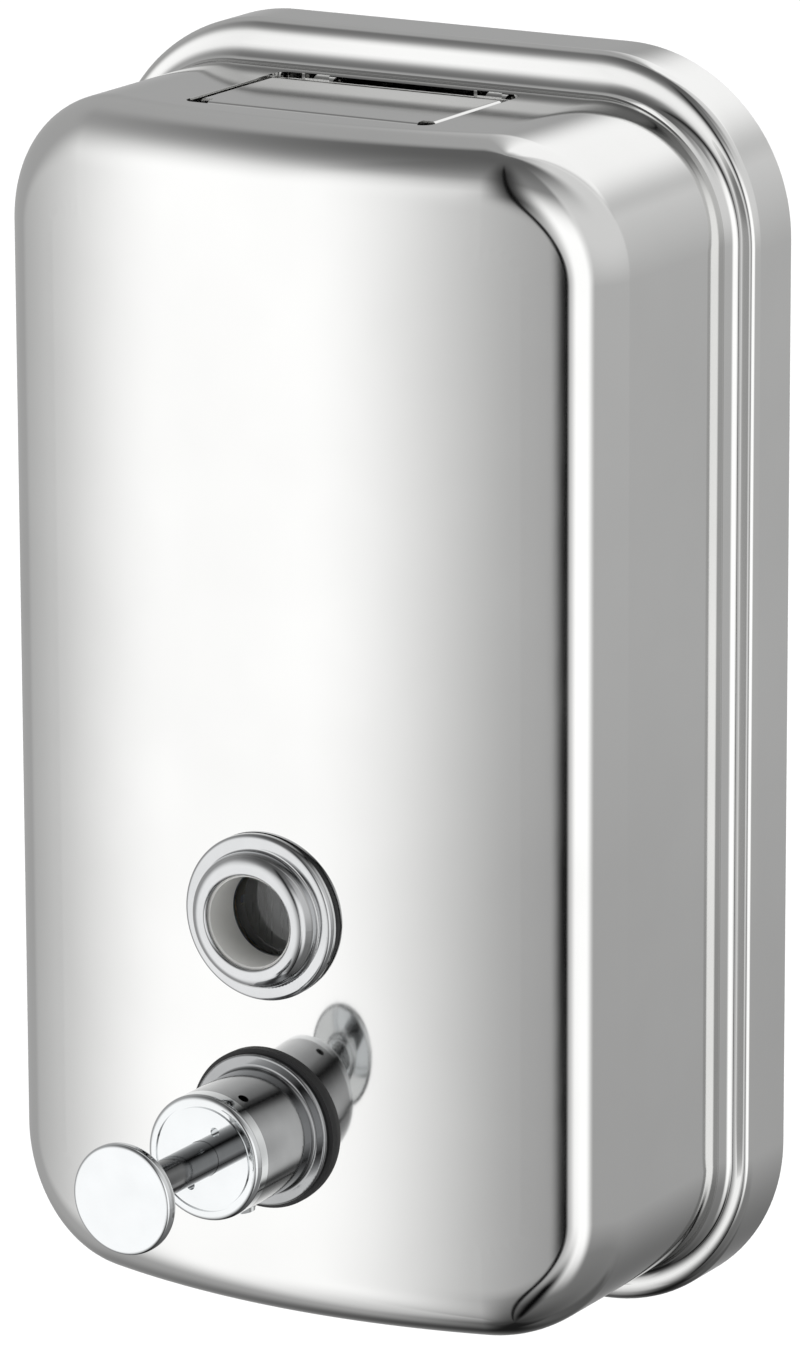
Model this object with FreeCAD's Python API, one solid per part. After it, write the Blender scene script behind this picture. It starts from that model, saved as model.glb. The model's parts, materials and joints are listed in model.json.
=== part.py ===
import FreeCAD, Part
import math
import os

# Wall mounted soap dispenser, millimetres.
# +X is to the right when facing the dispenser, +Y goes back to the wall and +Z is up.
# The origin is the middle of the wall bracket's back face, on the wall itself.

V = FreeCAD.Vector

# ---------------------------------------------------------------- driving sizes
# Drawn body: a tall box with a bowed front and a stepped rim that meets the wall.
body_width = 114.0
body_height = 200.0
body_depth = 65.0
front_crown_radius = 128.0
body_corner_radius = 22.5
front_edge_radius = 10.0
body_sheet = 1.0
rim_side = 4.8
rim_end = 6.7
rim_depth = 12.0
rim_corner_radius = 30.0
rim_edge_radius = 2.2
foot_radius = 1.0
plate_clearance = 0.1

# Wall bracket, the hanger that hooks over it, and the screw that locks the two.
bracket_width = 84.0
bracket_height = 168.5
bracket_bottom = -98.5
bracket_sheet = 1.5
bracket_corner = 6.0
wall_hole_radius = 2.75
wall_hole_spacing_x = 56.0
wall_hole_spacing_z = 110.0
tongue_width = 60.0
tongue_stand = 3.5
tongue_height = 15.0
hanger_flange = 11.5
hanger_reach = 11.0
hanger_play = 0.2
lock_lip_reach = 8.0
lock_screw_radius = 2.5
lock_screw_socket = 1.3
lock_screw_from_wall = 5.0
lock_bush_radius = 4.4
lock_bush_height = 4.5
lock_spigot_radius = 3.4

# Filler lid in the top, its hinge, the well under it and the seal in the well.
lid_width = 44.0
lid_front_from_wall = 48.0
lid_gap = 1.0
lid_recess = 0.8
lid_sheet = 0.8
lid_bend_radius = 1.6
lid_notch_width = 4.5
lid_notch_depth = 2.2
hinge_from_wall = 22.7
hinge_pin_radius = 0.75
hinge_running = 0.05
knuckle_radius = 1.9
knuckle_width = 4.2
knuckle_inset = 5.7
hinge_slot = 3.2
hinge_back_gap = 2.9
well_sheet = 0.8
well_flange = 2.2
well_corner = 2.0
well_clearance = 0.3
gasket_band = 4.2
gasket_thickness = 1.5
mouth_step = 0.5
mouth_lip = 3.0
catch_width = 10.0
catch_sheet = 0.4
catch_foot = 5.0
catch_drop = 1.7
catch_clearance = 0.8

# Sight window.
window_height = -30.0
bezel_radius = 14.0
bezel_flange = 1.4
bezel_hub_radius = 11.4
bezel_stand = 5.0
window_aperture = 7.9
bezel_crest_round = 0.6
bezel_shoulder_round = 2.4
bezel_hub_foot_round = 0.4
bezel_flange_round = 0.9
window_tail_radius = 10.0
window_tail_length = 10.0
lens_pocket_radius = 9.1
lens_flange = 1.5
lens_recess = 8.2
lens_play = 0.2
lens_round = 0.5
lens_seal_thickness = 0.5
shoulder_stand = -4.0
retainer_length = 2.5
gasket_rubber = 0.8
window_rubber = 0.3
hole_play = 0.2
washer_least = 0.8
window_nut_flats = 26.0
nut_length = 4.0

# Push valve: outer barrel, cap, stem, button and the pump behind the front.
valve_height = -66.0
valve_radius = 10.6
valve_length = 16.3
valve_flange_radius = 12.8
valve_flange = 1.2
valve_foot_round = 0.6
valve_flange_round = 0.5
valve_gasket_radius = 13.5
valve_tail_radius = 9.0
valve_tail_length = 16.0
valve_nut_flats = 24.0
valve_web = 2.0
valve_web_back = -4.0
web_clearance = 0.5
chamber_radius = 8.0
cap_thickness = 3.0
cap_skirt = 3.0
cap_skirt_wall = 1.4
cap_rim_round = 1.1
cap_groove_radius = 8.75
cap_groove_width = 0.35
cap_groove_depth = 0.35
spanner_hole_radius = 0.8
spanner_hole_circle = 5.4
spanner_hole_depth = 1.2
spanner_hole_angle = 64.0
vent_hole_radius = 0.9
vent_from_front = 2.2
stem_radius = 3.0
running_fit = 0.05
stem_bore_radius = 1.2
port_radius = 0.8
stem_seal_radius = 5.0
stem_seal_thickness = 1.3
button_radius = 9.2
button_thickness = 2.2
button_stand = 44.0
button_round = 0.8
button_boss_radius = 4.2
button_boss_length = 3.0
button_boss_root = 0.5
button_boss_round = 0.4
button_skin = 1.4
pump_outer_radius = 7.5
pump_bore_radius = 6.0
pump_length = 41.0
pump_end_wall = 2.0
pump_end_round = 0.8
piston_radius = 5.6
piston_length = 7.0
piston_round = 0.4
piston_gap = 2.0
piston_socket = 2.0
piston_groove_radius = 4.4
piston_groove_length = 2.6
rod_seal_thickness = 1.5
ball_play = 0.05
outlet_ball_radius = 1.6
outlet_pocket_radius = 2.1
outlet_seat_radius = 1.1
outlet_pocket_end = 1.4
spring_wire = 0.8
spring_wire_sides = 8
spring_radius = 4.3
spring_turns = 8.0
spring_play = 0.3
inlet_from_end = 8.0
inlet_boss_radius = 4.6
inlet_boss_drop = 8.8
inlet_pocket_radius = 3.0
inlet_seat_radius = 1.5
inlet_ball_radius = 2.2
inlet_plug_length = 3.0
barb_flange = 1.2
barb_radius = 2.9
barb_length = 6.8
tube_wall = 1.1
tube_floor_gap = 3.0
nozzle_from_front = 9.0
nozzle_radius = 2.3
nozzle_bore_radius = 1.3
nozzle_lip_radius = 3.1
nozzle_stand = 0.8

# ---------------------------------------------------------------- shared places
EXTRA = 1.0      # how far a cutting shape runs past the face it cuts
TOUCH = 0.01     # two places nearer than this are the same place
front_y = -body_depth
top_z = body_height / 2
inner_front_y = front_y + body_sheet
inner_top_z = top_z - body_sheet
rim_half_width = body_width / 2 + rim_side
rim_half_height = body_height / 2 + rim_end
plate_front_y = -rim_depth + body_sheet
plate_back_y = plate_front_y + body_sheet

tongue_root_z = bracket_bottom + bracket_height
tongue_top_z = tongue_root_z + tongue_height
lock_y = -lock_screw_from_wall
skirt_floor_z = -rim_half_height + body_sheet

lid_top_z = top_z - lid_recess
hinge_y = -hinge_from_wall
hinge_z = lid_top_z - knuckle_radius
knuckle_centre = lid_width / 2 - knuckle_inset
opening_front_y = -lid_front_from_wall - lid_gap
opening_back_y = hinge_y + hinge_back_gap
opening_half_width = lid_width / 2 + lid_gap
well_floor_z = hinge_z - knuckle_radius - well_clearance
gasket_top_z = well_floor_z + gasket_thickness
gasket_half_width = opening_half_width - well_clearance
gasket_front_y = opening_front_y + well_clearance
gasket_back_y = hinge_y - knuckle_radius - well_clearance

spigot_radius = valve_tail_radius + hole_play
pump_front = valve_web_back
pump_back = pump_front - pump_length
piston_front = pump_front - piston_gap
piston_back = piston_front - piston_length
rod_front = button_stand - button_skin
rod_back = piston_front - piston_socket
inlet_y = front_y - (pump_back + inlet_from_end)
inlet_boss_bottom_z = valve_height - pump_outer_radius - inlet_boss_drop
inlet_plug_top_z = inlet_boss_bottom_z + inlet_plug_length


# ---------------------------------------------------------------- shape helpers
def out(distance):
    """Y of a point that stands this far out of the crown of the front face."""
    return front_y - distance


def seat_drop(chord, radius):
    """How far a circle of this radius falls away at this distance from its crown."""
    return radius - math.sqrt(radius ** 2 - chord ** 2)


def edges_along(shape, direction):
    """Straight edges of a shape that run along a direction."""
    found = []
    for edge in shape.Edges:
        if edge.Curve.TypeId != "Part::GeomLine":
            continue
        if edge.tangentAt(edge.FirstParameter).cross(direction).Length < 1e-6:
            found.append(edge)
    return found


def slab_y(width, height, radius, front, back, z_centre=0.0):
    """Plate with rounded corners, seen from the front, between two Y planes."""
    box = Part.makeBox(width, back - front, height, V(-width / 2, front, z_centre - height / 2))
    return box.makeFillet(radius, edges_along(box, V(0, 1, 0)))


def slab_z(half_width, front, back, radius, bottom, top):
    """Plate with rounded corners, seen from above, between two Z planes."""
    box = Part.makeBox(2 * half_width, back - front, top - bottom, V(-half_width, front, bottom))
    return box.makeFillet(radius, edges_along(box, V(0, 0, 1)))


def rounded_outline(corners, place):
    """Closed wire through corners (u, v, radius), each turned with its own radius."""
    edges = []
    passes = []
    for index, (u, v, radius) in enumerate(corners):
        here = V(u, v, 0)
        before = corners[index - 1]
        after = corners[(index + 1) % len(corners)]
        to_before = (V(before[0], before[1], 0) - here).normalize()
        to_after = (V(after[0], after[1], 0) - here).normalize()
        if radius == 0:
            passes.append((here, here))
            continue
        half_angle = to_before.getAngle(to_after) / 2
        reach = radius / math.tan(half_angle)
        enter = here + to_before * reach
        leave = here + to_after * reach
        inward = (to_before + to_after).normalize()
        middle = here + inward * (radius / math.sin(half_angle) - radius)
        edges.append(Part.Arc(place(enter), place(middle), place(leave)).toShape())
        passes.append((enter, leave))
    for index, (enter, leave) in enumerate(passes):
        following = passes[(index + 1) % len(passes)][0]
        if (following - leave).Length > 1e-6:
            edges.append(Part.makeLine(place(leave), place(following)))
    return Part.Wire(Part.__sortEdges__(edges))


def turned(profile, z):
    """Solid turned about a horizontal Y axis at height z from (radius, stand, round) corners."""
    wire = rounded_outline(profile, lambda p: V(p.x, out(p.y), 0))
    solid = Part.Face(wire).revolve(V(0, 0, 0), V(0, 1, 0), 360)
    solid.translate(V(0, 0, z))
    return solid


def bent(profile, half_width):
    """Sheet bent to a (y, z, radius) outline and as wide as given, centred on X."""
    wire = rounded_outline(profile, lambda p: V(-half_width, p.x, p.y))
    return Part.Face(wire).extrude(V(2 * half_width, 0, 0))


def rod_y(radius, front, back, x, z):
    """Round bar along Y."""
    return Part.makeCylinder(radius, back - front, V(x, front, z), V(0, 1, 0))


def rod_z(radius, bottom, top, x, y):
    """Round bar along Z."""
    return Part.makeCylinder(radius, top - bottom, V(x, y, bottom), V(0, 0, 1))


def rod_x(radius, left, right, y, z):
    """Round bar along X."""
    return Part.makeCylinder(radius, right - left, V(left, y, z), V(1, 0, 0))


def hexagon(corner, place):
    """Six-sided face whose corners are this far from its middle."""
    points = []
    for step in range(7):
        angle = math.radians(60 * step)
        points.append(place(corner * math.cos(angle), corner * math.sin(angle)))
    return Part.Face(Part.makePolygon(points))


def ball(radius, x, y, z):
    """Sphere with its poles on the vertical axis."""
    return Part.makeSphere(radius, V(x, y, z))


def joined(first, *others):
    """One clean solid from several that meet."""
    whole = first
    for other in others:
        whole = whole.fuse(other)
    return whole.removeSplitter()


# ---------------------------------------------------------------- body
def crowned_box(inset):
    """Body box behind its bowed front, every face moved in by the inset."""
    width = body_width - 2 * inset
    height = body_height - 2 * inset
    block = slab_y(width, height, body_corner_radius - inset, front_y - EXTRA, -rim_depth / 2)
    crown_foot = V(0, front_y + front_crown_radius, -height / 2 - EXTRA)
    crown = Part.makeCylinder(front_crown_radius - inset, height + 2 * EXTRA, crown_foot)
    crowned = block.common(crown)
    front = min(crowned.Faces, key=lambda face: face.CenterOfMass.y)
    return crowned.makeFillet(front_edge_radius - inset, front.Edges)


def body_block(inset, back_y):
    """Whole outside of the drawn body, box and rim, with every face moved in by the inset."""
    rim_front = -rim_depth + inset
    width = 2 * (rim_half_width - inset)
    height = 2 * (rim_half_height - inset)
    rim = slab_y(width, height, rim_corner_radius - inset, rim_front, back_y)
    rim_face = min(rim.Faces, key=lambda face: face.CenterOfMass.y)
    rim = rim.makeFillet(rim_edge_radius - inset, rim_face.Edges)
    whole = crowned_box(inset).fuse(rim)
    foot = []
    for edge in whole.Edges:
        box = edge.BoundBox
        on_rim_face = abs(box.YMin - rim_front) < TOUCH and abs(box.YMax - rim_front) < TOUCH
        within_width = max(box.XMax, -box.XMin) < body_width / 2 - inset + TOUCH
        within_height = max(box.ZMax, -box.ZMin) < body_height / 2 - inset + TOUCH
        if on_rim_face and within_width and within_height:
            foot.append(edge)
    return whole.makeFillet(foot_radius + inset, foot)


def filler_opening():
    """Space that the lid and the well's walls stand round, cut through the top."""
    return slab_z(
        opening_half_width, opening_front_y, opening_back_y, well_corner, inner_top_z - EXTRA, top_z + EXTRA
    )


def body_shell(outside, inside):
    shell = outside.cut(inside)
    for radius, z in ((window_tail_radius + hole_play, window_height), (spigot_radius, valve_height)):
        shell = shell.cut(rod_y(radius, front_y - EXTRA, inner_front_y + EXTRA, 0, z))
    shell = shell.cut(rod_z(lock_spigot_radius, -rim_half_height - EXTRA, skirt_floor_z + EXTRA, 0, lock_y))
    return shell.cut(filler_opening())


def back_plate():
    """Flat rear wall of the tank, seam welded to the back of the rim's face."""
    edge = rim_edge_radius + plate_clearance
    width = 2 * (rim_half_width - edge)
    height = 2 * (rim_half_height - edge)
    return slab_y(width, height, rim_corner_radius - edge, plate_front_y, plate_back_y)


# ---------------------------------------------------------------- wall fixing
def wall_bracket():
    """Plate screwed to the wall, with an upright tongue on top and a locking lip below."""
    z_middle = bracket_bottom + bracket_height / 2
    plate = slab_y(bracket_width, bracket_height, bracket_corner, -bracket_sheet, 0, z_middle)
    front = -tongue_stand - bracket_sheet
    shelf_z = tongue_root_z - bracket_sheet
    tongue = bent([
        (0, shelf_z, 0),
        (front, shelf_z, bracket_sheet),
        (front, tongue_top_z, 0),
        (-tongue_stand, tongue_top_z, 0),
        (-tongue_stand, tongue_root_z, 0),
        (0, tongue_root_z, 0),
    ], tongue_width / 2)
    lip_top = bracket_bottom + bracket_sheet
    lip = bent([
        (0, bracket_bottom, 0),
        (0, lip_top, 0),
        (-lock_lip_reach, lip_top, 0),
        (-lock_lip_reach, bracket_bottom, 0),
    ], bracket_width / 2 - bracket_corner)
    bracket = joined(plate, tongue, lip)
    for x in (-wall_hole_spacing_x / 2, wall_hole_spacing_x / 2):
        for z in (-wall_hole_spacing_z / 2, wall_hole_spacing_z / 2):
            bracket = bracket.cut(rod_y(wall_hole_radius, -bracket_sheet - EXTRA, EXTRA, x, z))
    return bracket


def hanger():
    """Strip welded to the back plate that drops behind the bracket's tongue."""
    back = -tongue_stand + hanger_play + bracket_sheet
    web_bottom = tongue_top_z
    web_top = web_bottom + bracket_sheet
    return bent([
        (plate_back_y, web_top + hanger_flange, 0),
        (plate_back_y, web_bottom, bracket_sheet),
        (back - bracket_sheet, web_bottom, 0),
        (back - bracket_sheet, web_bottom - hanger_reach, 0),
        (back, web_bottom - hanger_reach, 0),
        (back, web_top, bracket_sheet),
        (plate_back_y + bracket_sheet, web_top, 0),
        (plate_back_y + bracket_sheet, web_top + hanger_flange, 0),
    ], tongue_width / 2)


def lock_bush():
    """Threaded bush pressed into the underside of the rim."""
    top = skirt_floor_z + lock_bush_height
    spigot = rod_z(lock_spigot_radius, -rim_half_height, skirt_floor_z, 0, lock_y)
    body = rod_z(lock_bush_radius, skirt_floor_z, top, 0, lock_y)
    bore = rod_z(lock_screw_radius, -rim_half_height - EXTRA, top + EXTRA, 0, lock_y)
    return joined(spigot, body).cut(bore)


def lock_screw():
    """Grub screw whose tip stops the bracket's lip, with a hexagon socket below."""
    screw = rod_z(lock_screw_radius, -rim_half_height, bracket_bottom, 0, lock_y)
    outline = hexagon(lock_screw_socket, lambda u, v: V(u, lock_y + v, -rim_half_height))
    socket = outline.extrude(V(0, 0, lock_screw_radius))
    return screw.cut(socket)


# ---------------------------------------------------------------- filler
def gasket_space(step, bottom, top):
    """Upright slab inside the seal's band, stepped in by the given amount."""
    return slab_z(
        gasket_half_width - step, gasket_front_y + step, gasket_back_y - step, well_corner, bottom, top
    )


def filler_well():
    """Pressed well under the opening: flange, walls, floor and a turned-down mouth."""
    flange_top = inner_top_z
    flange = slab_z(
        opening_half_width + well_flange, opening_front_y - well_flange, opening_back_y + well_flange,
        well_corner + well_flange, flange_top - well_sheet, flange_top
    )
    wall = slab_z(
        opening_half_width + well_sheet, opening_front_y - well_sheet, opening_back_y + well_sheet,
        well_corner + well_sheet, well_floor_z - well_sheet, flange_top
    )
    hollow = slab_z(
        opening_half_width, opening_front_y, opening_back_y, well_corner, well_floor_z, flange_top + EXTRA
    )
    mouth_wall = gasket_space(gasket_band + mouth_step - well_sheet, well_floor_z - mouth_lip, well_floor_z)
    mouth = gasket_space(gasket_band + mouth_step, well_floor_z - mouth_lip - EXTRA, well_floor_z + EXTRA)
    pin_hole = rod_x(
        hinge_pin_radius, -opening_half_width - well_sheet - EXTRA, opening_half_width + well_sheet + EXTRA,
        hinge_y, hinge_z
    )
    return joined(flange, wall, mouth_wall).cut(hollow).cut(mouth).cut(pin_hole)


def lid_gasket():
    ring = gasket_space(0, well_floor_z, gasket_top_z)
    return ring.cut(gasket_space(gasket_band, well_floor_z - EXTRA, gasket_top_z + EXTRA))


def lid():
    """Folded sheet lid: lips on three sides, open front corners and two hinge knuckles."""
    half = lid_width / 2
    front = -lid_front_from_wall
    back = hinge_y + knuckle_radius
    under = lid_top_z - lid_sheet
    plate = bent([
        (back, lid_top_z, 0),
        (front, lid_top_z, lid_bend_radius),
        (front, gasket_top_z, 0),
        (front + lid_sheet, gasket_top_z, 0),
        (front + lid_sheet, under, lid_bend_radius - lid_sheet),
        (back, under, 0),
    ], half)
    lip_length = gasket_back_y - gasket_band / 2 - front
    sides = []
    knuckles = []
    cuts = []
    for side in (-1, 1):
        left = min(side * half, side * (half - lid_sheet))
        sides.append(Part.makeBox(lid_sheet, lip_length, under - gasket_top_z, V(left, front, gasket_top_z)))
        near = knuckle_centre - knuckle_width / 2
        far = knuckle_centre + knuckle_width / 2
        start = min(side * near, side * far)
        knuckles.append(rod_x(knuckle_radius, start, start + knuckle_width, hinge_y, hinge_z))
        notch_x = min(side * (half + EXTRA), side * (half - lid_notch_width))
        cuts.append(Part.makeBox(
            lid_notch_width + EXTRA, lid_notch_depth + EXTRA, knuckle_radius * 3,
            V(notch_x, front - EXTRA, gasket_top_z - EXTRA)
        ))
        slot_depth = 2 * knuckle_radius + well_clearance
        slot_size = (slot_depth + EXTRA, under - hinge_z + 2 * lid_sheet)
        inner = min(side * near, side * (near - hinge_slot))
        cuts.append(Part.makeBox(hinge_slot, *slot_size, V(inner, back - slot_depth, hinge_z)))
        outer_width = half - far + EXTRA
        outer = min(side * far, side * (far + outer_width))
        cuts.append(Part.makeBox(outer_width, *slot_size, V(outer, back - slot_depth, hinge_z)))
        heel_size = (knuckle_width, knuckle_radius + EXTRA, 2 * lid_sheet)
        cuts.append(Part.makeBox(*heel_size, V(start, hinge_y, under)))
    folded = joined(plate, *sides)
    for cut in cuts:
        folded = folded.cut(cut)
    folded = joined(folded, *knuckles)
    bore = rod_x(hinge_pin_radius + hinge_running, -half, half, hinge_y, hinge_z)
    return folded.cut(bore)


def lid_hinge_pin():
    half = opening_half_width + well_sheet
    return rod_x(hinge_pin_radius, -half, half, hinge_y, hinge_z)


def lid_catch_spring():
    """Leaf under the lid that presses on the mouth's front wall to hold the lid shut."""
    under = lid_top_z - lid_sheet
    mouth_front = gasket_front_y + gasket_band + mouth_step
    face = mouth_front + catch_clearance
    bottom = well_floor_z - well_sheet - catch_drop
    return bent([
        (face + catch_foot, under, 0),
        (face, under, 2 * catch_sheet),
        (face, bottom, 0),
        (face + catch_sheet, bottom, 0),
        (face + catch_sheet, under - catch_sheet, catch_sheet),
        (face + catch_foot, under - catch_sheet, 0),
    ], catch_width / 2)


# ---------------------------------------------------------------- sight window
def seated_ring(inner_radius, outer_radius, z, stand, block):
    """Soft ring in front of the bowed face, flat in front and fitting the face behind."""
    ring = rod_y(outer_radius, out(stand), out(-bezel_radius), 0, z)
    ring = ring.cut(rod_y(inner_radius, out(stand) - EXTRA, out(-bezel_radius) + EXTRA, 0, z))
    return ring.cut(block)


def washer_back(outer_radius):
    """Y of the flat back of a washer that fits the hollow side of the front."""
    return inner_front_y + seat_drop(outer_radius, front_crown_radius - body_sheet) + washer_least


def inner_washer(inner_radius, outer_radius, z, block):
    """Soft washer that fits the hollow side of the front and is flat behind."""
    back = washer_back(outer_radius)
    ring = rod_y(outer_radius, front_y, back, 0, z)
    ring = ring.cut(rod_y(inner_radius, front_y - EXTRA, back + EXTRA, 0, z))
    return ring.common(block)


def clamp_nut(flats, bore_radius, z):
    """Hexagon nut tightened against the inner washer."""
    front = washer_back(flats / 2)
    outline = hexagon(flats / math.sqrt(3), lambda u, v: V(u, front, z + v))
    nut = outline.extrude(V(0, nut_length, 0))
    return nut.cut(rod_y(bore_radius, front - EXTRA, front + nut_length + EXTRA, 0, z))


def window_bezel():
    """Turned ring: threaded tail, flange on the gasket, stepped hub and straight aperture."""
    flange_front = window_rubber + bezel_flange
    return turned([
        (lens_pocket_radius, -window_tail_length, 0),
        (lens_pocket_radius, shoulder_stand, 0),
        (window_aperture, shoulder_stand, 0),
        (window_aperture, bezel_stand, bezel_crest_round),
        (bezel_hub_radius, bezel_stand, bezel_shoulder_round),
        (bezel_hub_radius, flange_front, bezel_hub_foot_round),
        (bezel_radius, flange_front, bezel_flange_round),
        (bezel_radius, window_rubber, 0),
        (window_tail_radius, window_rubber, 0),
        (window_tail_radius, -window_tail_length, 0),
    ], window_height)


def window_lens():
    """Clear plug with a flange that is held against the bezel's shoulder."""
    flange_front = shoulder_stand - lens_seal_thickness
    flange_back = flange_front - lens_flange
    return turned([
        (0, flange_back, 0),
        (lens_pocket_radius - lens_play, flange_back, 0),
        (lens_pocket_radius - lens_play, flange_front, 0),
        (window_aperture - lens_play, flange_front, 0),
        (window_aperture - lens_play, bezel_stand - lens_recess, lens_round),
        (0, bezel_stand - lens_recess, 0),
    ], window_height)


def lens_seal():
    """Flat seal between the lens flange and the shoulder."""
    back = shoulder_stand - lens_seal_thickness
    return turned([
        (window_aperture, back, 0),
        (lens_pocket_radius - lens_play, back, 0),
        (lens_pocket_radius - lens_play, shoulder_stand, 0),
        (window_aperture, shoulder_stand, 0),
    ], window_height)


def lens_retainer():
    """Threaded ring, with two spanner slots, that holds the lens from behind."""
    front = shoulder_stand - lens_seal_thickness - lens_flange
    back = front - retainer_length
    ring = turned([
        (window_aperture, back, 0),
        (lens_pocket_radius, back, 0),
        (lens_pocket_radius, front, 0),
        (window_aperture, front, 0),
    ], window_height)
    slot = Part.makeBox(
        2 * lens_pocket_radius + EXTRA, retainer_length / 2, lens_flange,
        V(-lens_pocket_radius - EXTRA / 2, out(back) - retainer_length / 2, window_height - lens_flange / 2)
    )
    return ring.cut(slot)


# ---------------------------------------------------------------- push valve
def valve_body():
    """Outer barrel of the valve, its flange, threaded tail and the web that guides the stem."""
    flange_front = gasket_rubber + valve_flange
    web_front = valve_web_back + valve_web
    web_hole = stem_radius + web_clearance
    body = turned([
        (web_hole, web_front, 0),
        (chamber_radius, web_front, 0),
        (chamber_radius, valve_length, 0),
        (valve_radius, valve_length, 0),
        (valve_radius, flange_front, valve_foot_round),
        (valve_flange_radius, flange_front, valve_flange_round),
        (valve_flange_radius, gasket_rubber, 0),
        (valve_tail_radius, gasket_rubber, 0),
        (valve_tail_radius, -valve_tail_length, 0),
        (pump_outer_radius, -valve_tail_length, 0),
        (pump_outer_radius, valve_web_back, 0),
        (web_hole, valve_web_back, 0),
    ], valve_height)
    outlet = rod_z(nozzle_radius, valve_height - valve_radius - EXTRA, valve_height - chamber_radius + EXTRA,
                   0, out(nozzle_from_front))
    body = body.cut(outlet)
    angle = math.radians(spanner_hole_angle)
    vent = Part.makeCylinder(
        vent_hole_radius, valve_radius, V(0, out(valve_length - vent_from_front), valve_height),
        V(math.cos(angle), 0, math.sin(angle))
    )
    return body.cut(vent)


def valve_cap():
    """Screwed front cap: rounded rim, fine ring groove, stem hole and two spanner holes."""
    front = valve_length + cap_thickness
    groove_in = cap_groove_radius - cap_groove_width / 2
    groove_out = cap_groove_radius + cap_groove_width / 2
    cap = turned([
        (stem_radius + running_fit, front, 0),
        (groove_in, front, 0),
        (groove_in, front - cap_groove_depth, 0),
        (groove_out, front - cap_groove_depth, 0),
        (groove_out, front, 0),
        (valve_radius, front, cap_rim_round),
        (valve_radius, valve_length, 0),
        (chamber_radius, valve_length, 0),
        (chamber_radius, valve_length - cap_skirt, 0),
        (chamber_radius - cap_skirt_wall, valve_length - cap_skirt, 0),
        (chamber_radius - cap_skirt_wall, valve_length, 0),
        (stem_radius + running_fit, valve_length, 0),
    ], valve_height)
    for turn in (0, 180):
        angle = math.radians(spanner_hole_angle + turn)
        x = spanner_hole_circle * math.cos(angle)
        z = valve_height + spanner_hole_circle * math.sin(angle)
        cap = cap.cut(rod_y(spanner_hole_radius, out(front) - EXTRA, out(front) + spanner_hole_depth, x, z))
    return cap


def stem_ring(outer_radius, front, thickness):
    """Lip seal round the stem, on its own running fit."""
    inner = stem_radius + running_fit
    return turned([
        (inner, front - thickness, 0),
        (outer_radius, front - thickness, 0),
        (outer_radius, front, 0),
        (inner, front, 0),
    ], valve_height)


def outlet_nozzle():
    """Short tip under the barrel that the soap leaves by."""
    tip = valve_height - valve_radius - nozzle_stand
    y = out(nozzle_from_front)
    sleeve = rod_z(nozzle_radius, tip, valve_height - chamber_radius, 0, y)
    lip = rod_z(nozzle_lip_radius, tip, valve_height - chamber_radius, 0, y)
    lip = lip.cut(rod_y(valve_radius, y - 2 * nozzle_lip_radius, y + 2 * nozzle_lip_radius, 0, valve_height))
    bore = rod_z(nozzle_bore_radius, tip - EXTRA, valve_height - chamber_radius + EXTRA, 0, y)
    return joined(sleeve, lip).cut(bore)


def push_button():
    """Polished disc with a threaded boss behind it."""
    back = button_stand - button_thickness
    boss_back = back - button_boss_length
    return turned([
        (0, rod_front, 0),
        (0, button_stand, 0),
        (button_radius, button_stand, button_round),
        (button_radius, back, button_round),
        (button_boss_radius, back, button_boss_root),
        (button_boss_radius, boss_back, button_boss_round),
        (stem_radius, boss_back, 0),
        (stem_radius, rod_front, 0),
    ], valve_height)


def plunger_rod():
    """Hollow stem: blind bore from the piston to a side port, which the cap's seal covers at rest."""
    port = valve_length - stem_seal_thickness / 2
    bore_end = port + stem_bore_radius
    rod = turned([
        (0, bore_end, 0),
        (0, rod_front, 0),
        (stem_radius, rod_front, 0),
        (stem_radius, rod_back, 0),
        (stem_bore_radius, rod_back, 0),
        (stem_bore_radius, bore_end, 0),
    ], valve_height)
    side_port = rod_z(port_radius, valve_height - stem_radius - EXTRA, valve_height, 0, out(port))
    slot = Part.makeBox(
        2 * stem_radius + EXTRA, stem_bore_radius, stem_bore_radius / 2,
        V(-stem_radius - EXTRA / 2, out(rod_back) - stem_bore_radius, valve_height - stem_bore_radius / 4)
    )
    return rod.cut(side_port).cut(slot)


# ---------------------------------------------------------------- pump
def outlet_seat():
    """Stand of the seat that the outlet ball closes."""
    return piston_back + outlet_pocket_end


def piston():
    """Piston head with a seal groove and the pocket for the outlet ball."""
    groove_front = piston_front - (piston_length - piston_groove_length) / 2
    groove_back = groove_front - piston_groove_length
    return turned([
        (stem_radius, piston_front, 0),
        (piston_radius, piston_front, piston_round),
        (piston_radius, groove_front, 0),
        (piston_groove_radius, groove_front, 0),
        (piston_groove_radius, groove_back, 0),
        (piston_radius, groove_back, 0),
        (piston_radius, piston_back, piston_round),
        (outlet_seat_radius, piston_back, 0),
        (outlet_seat_radius, outlet_seat(), 0),
        (outlet_pocket_radius, outlet_seat(), 0),
        (outlet_pocket_radius, rod_back, 0),
        (stem_radius, rod_back, 0),
    ], valve_height)


def piston_seal():
    groove_front = piston_front - (piston_length - piston_groove_length) / 2
    groove_back = groove_front - piston_groove_length
    return turned([
        (piston_groove_radius, groove_back, 0),
        (pump_bore_radius - running_fit, groove_back, 0),
        (pump_bore_radius - running_fit, groove_front, 0),
        (piston_groove_radius, groove_front, 0),
    ], valve_height)


def outlet_ball():
    lift = math.sqrt(outlet_ball_radius ** 2 - outlet_seat_radius ** 2) + ball_play
    return ball(outlet_ball_radius, 0, out(outlet_seat() + lift), valve_height)


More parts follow.
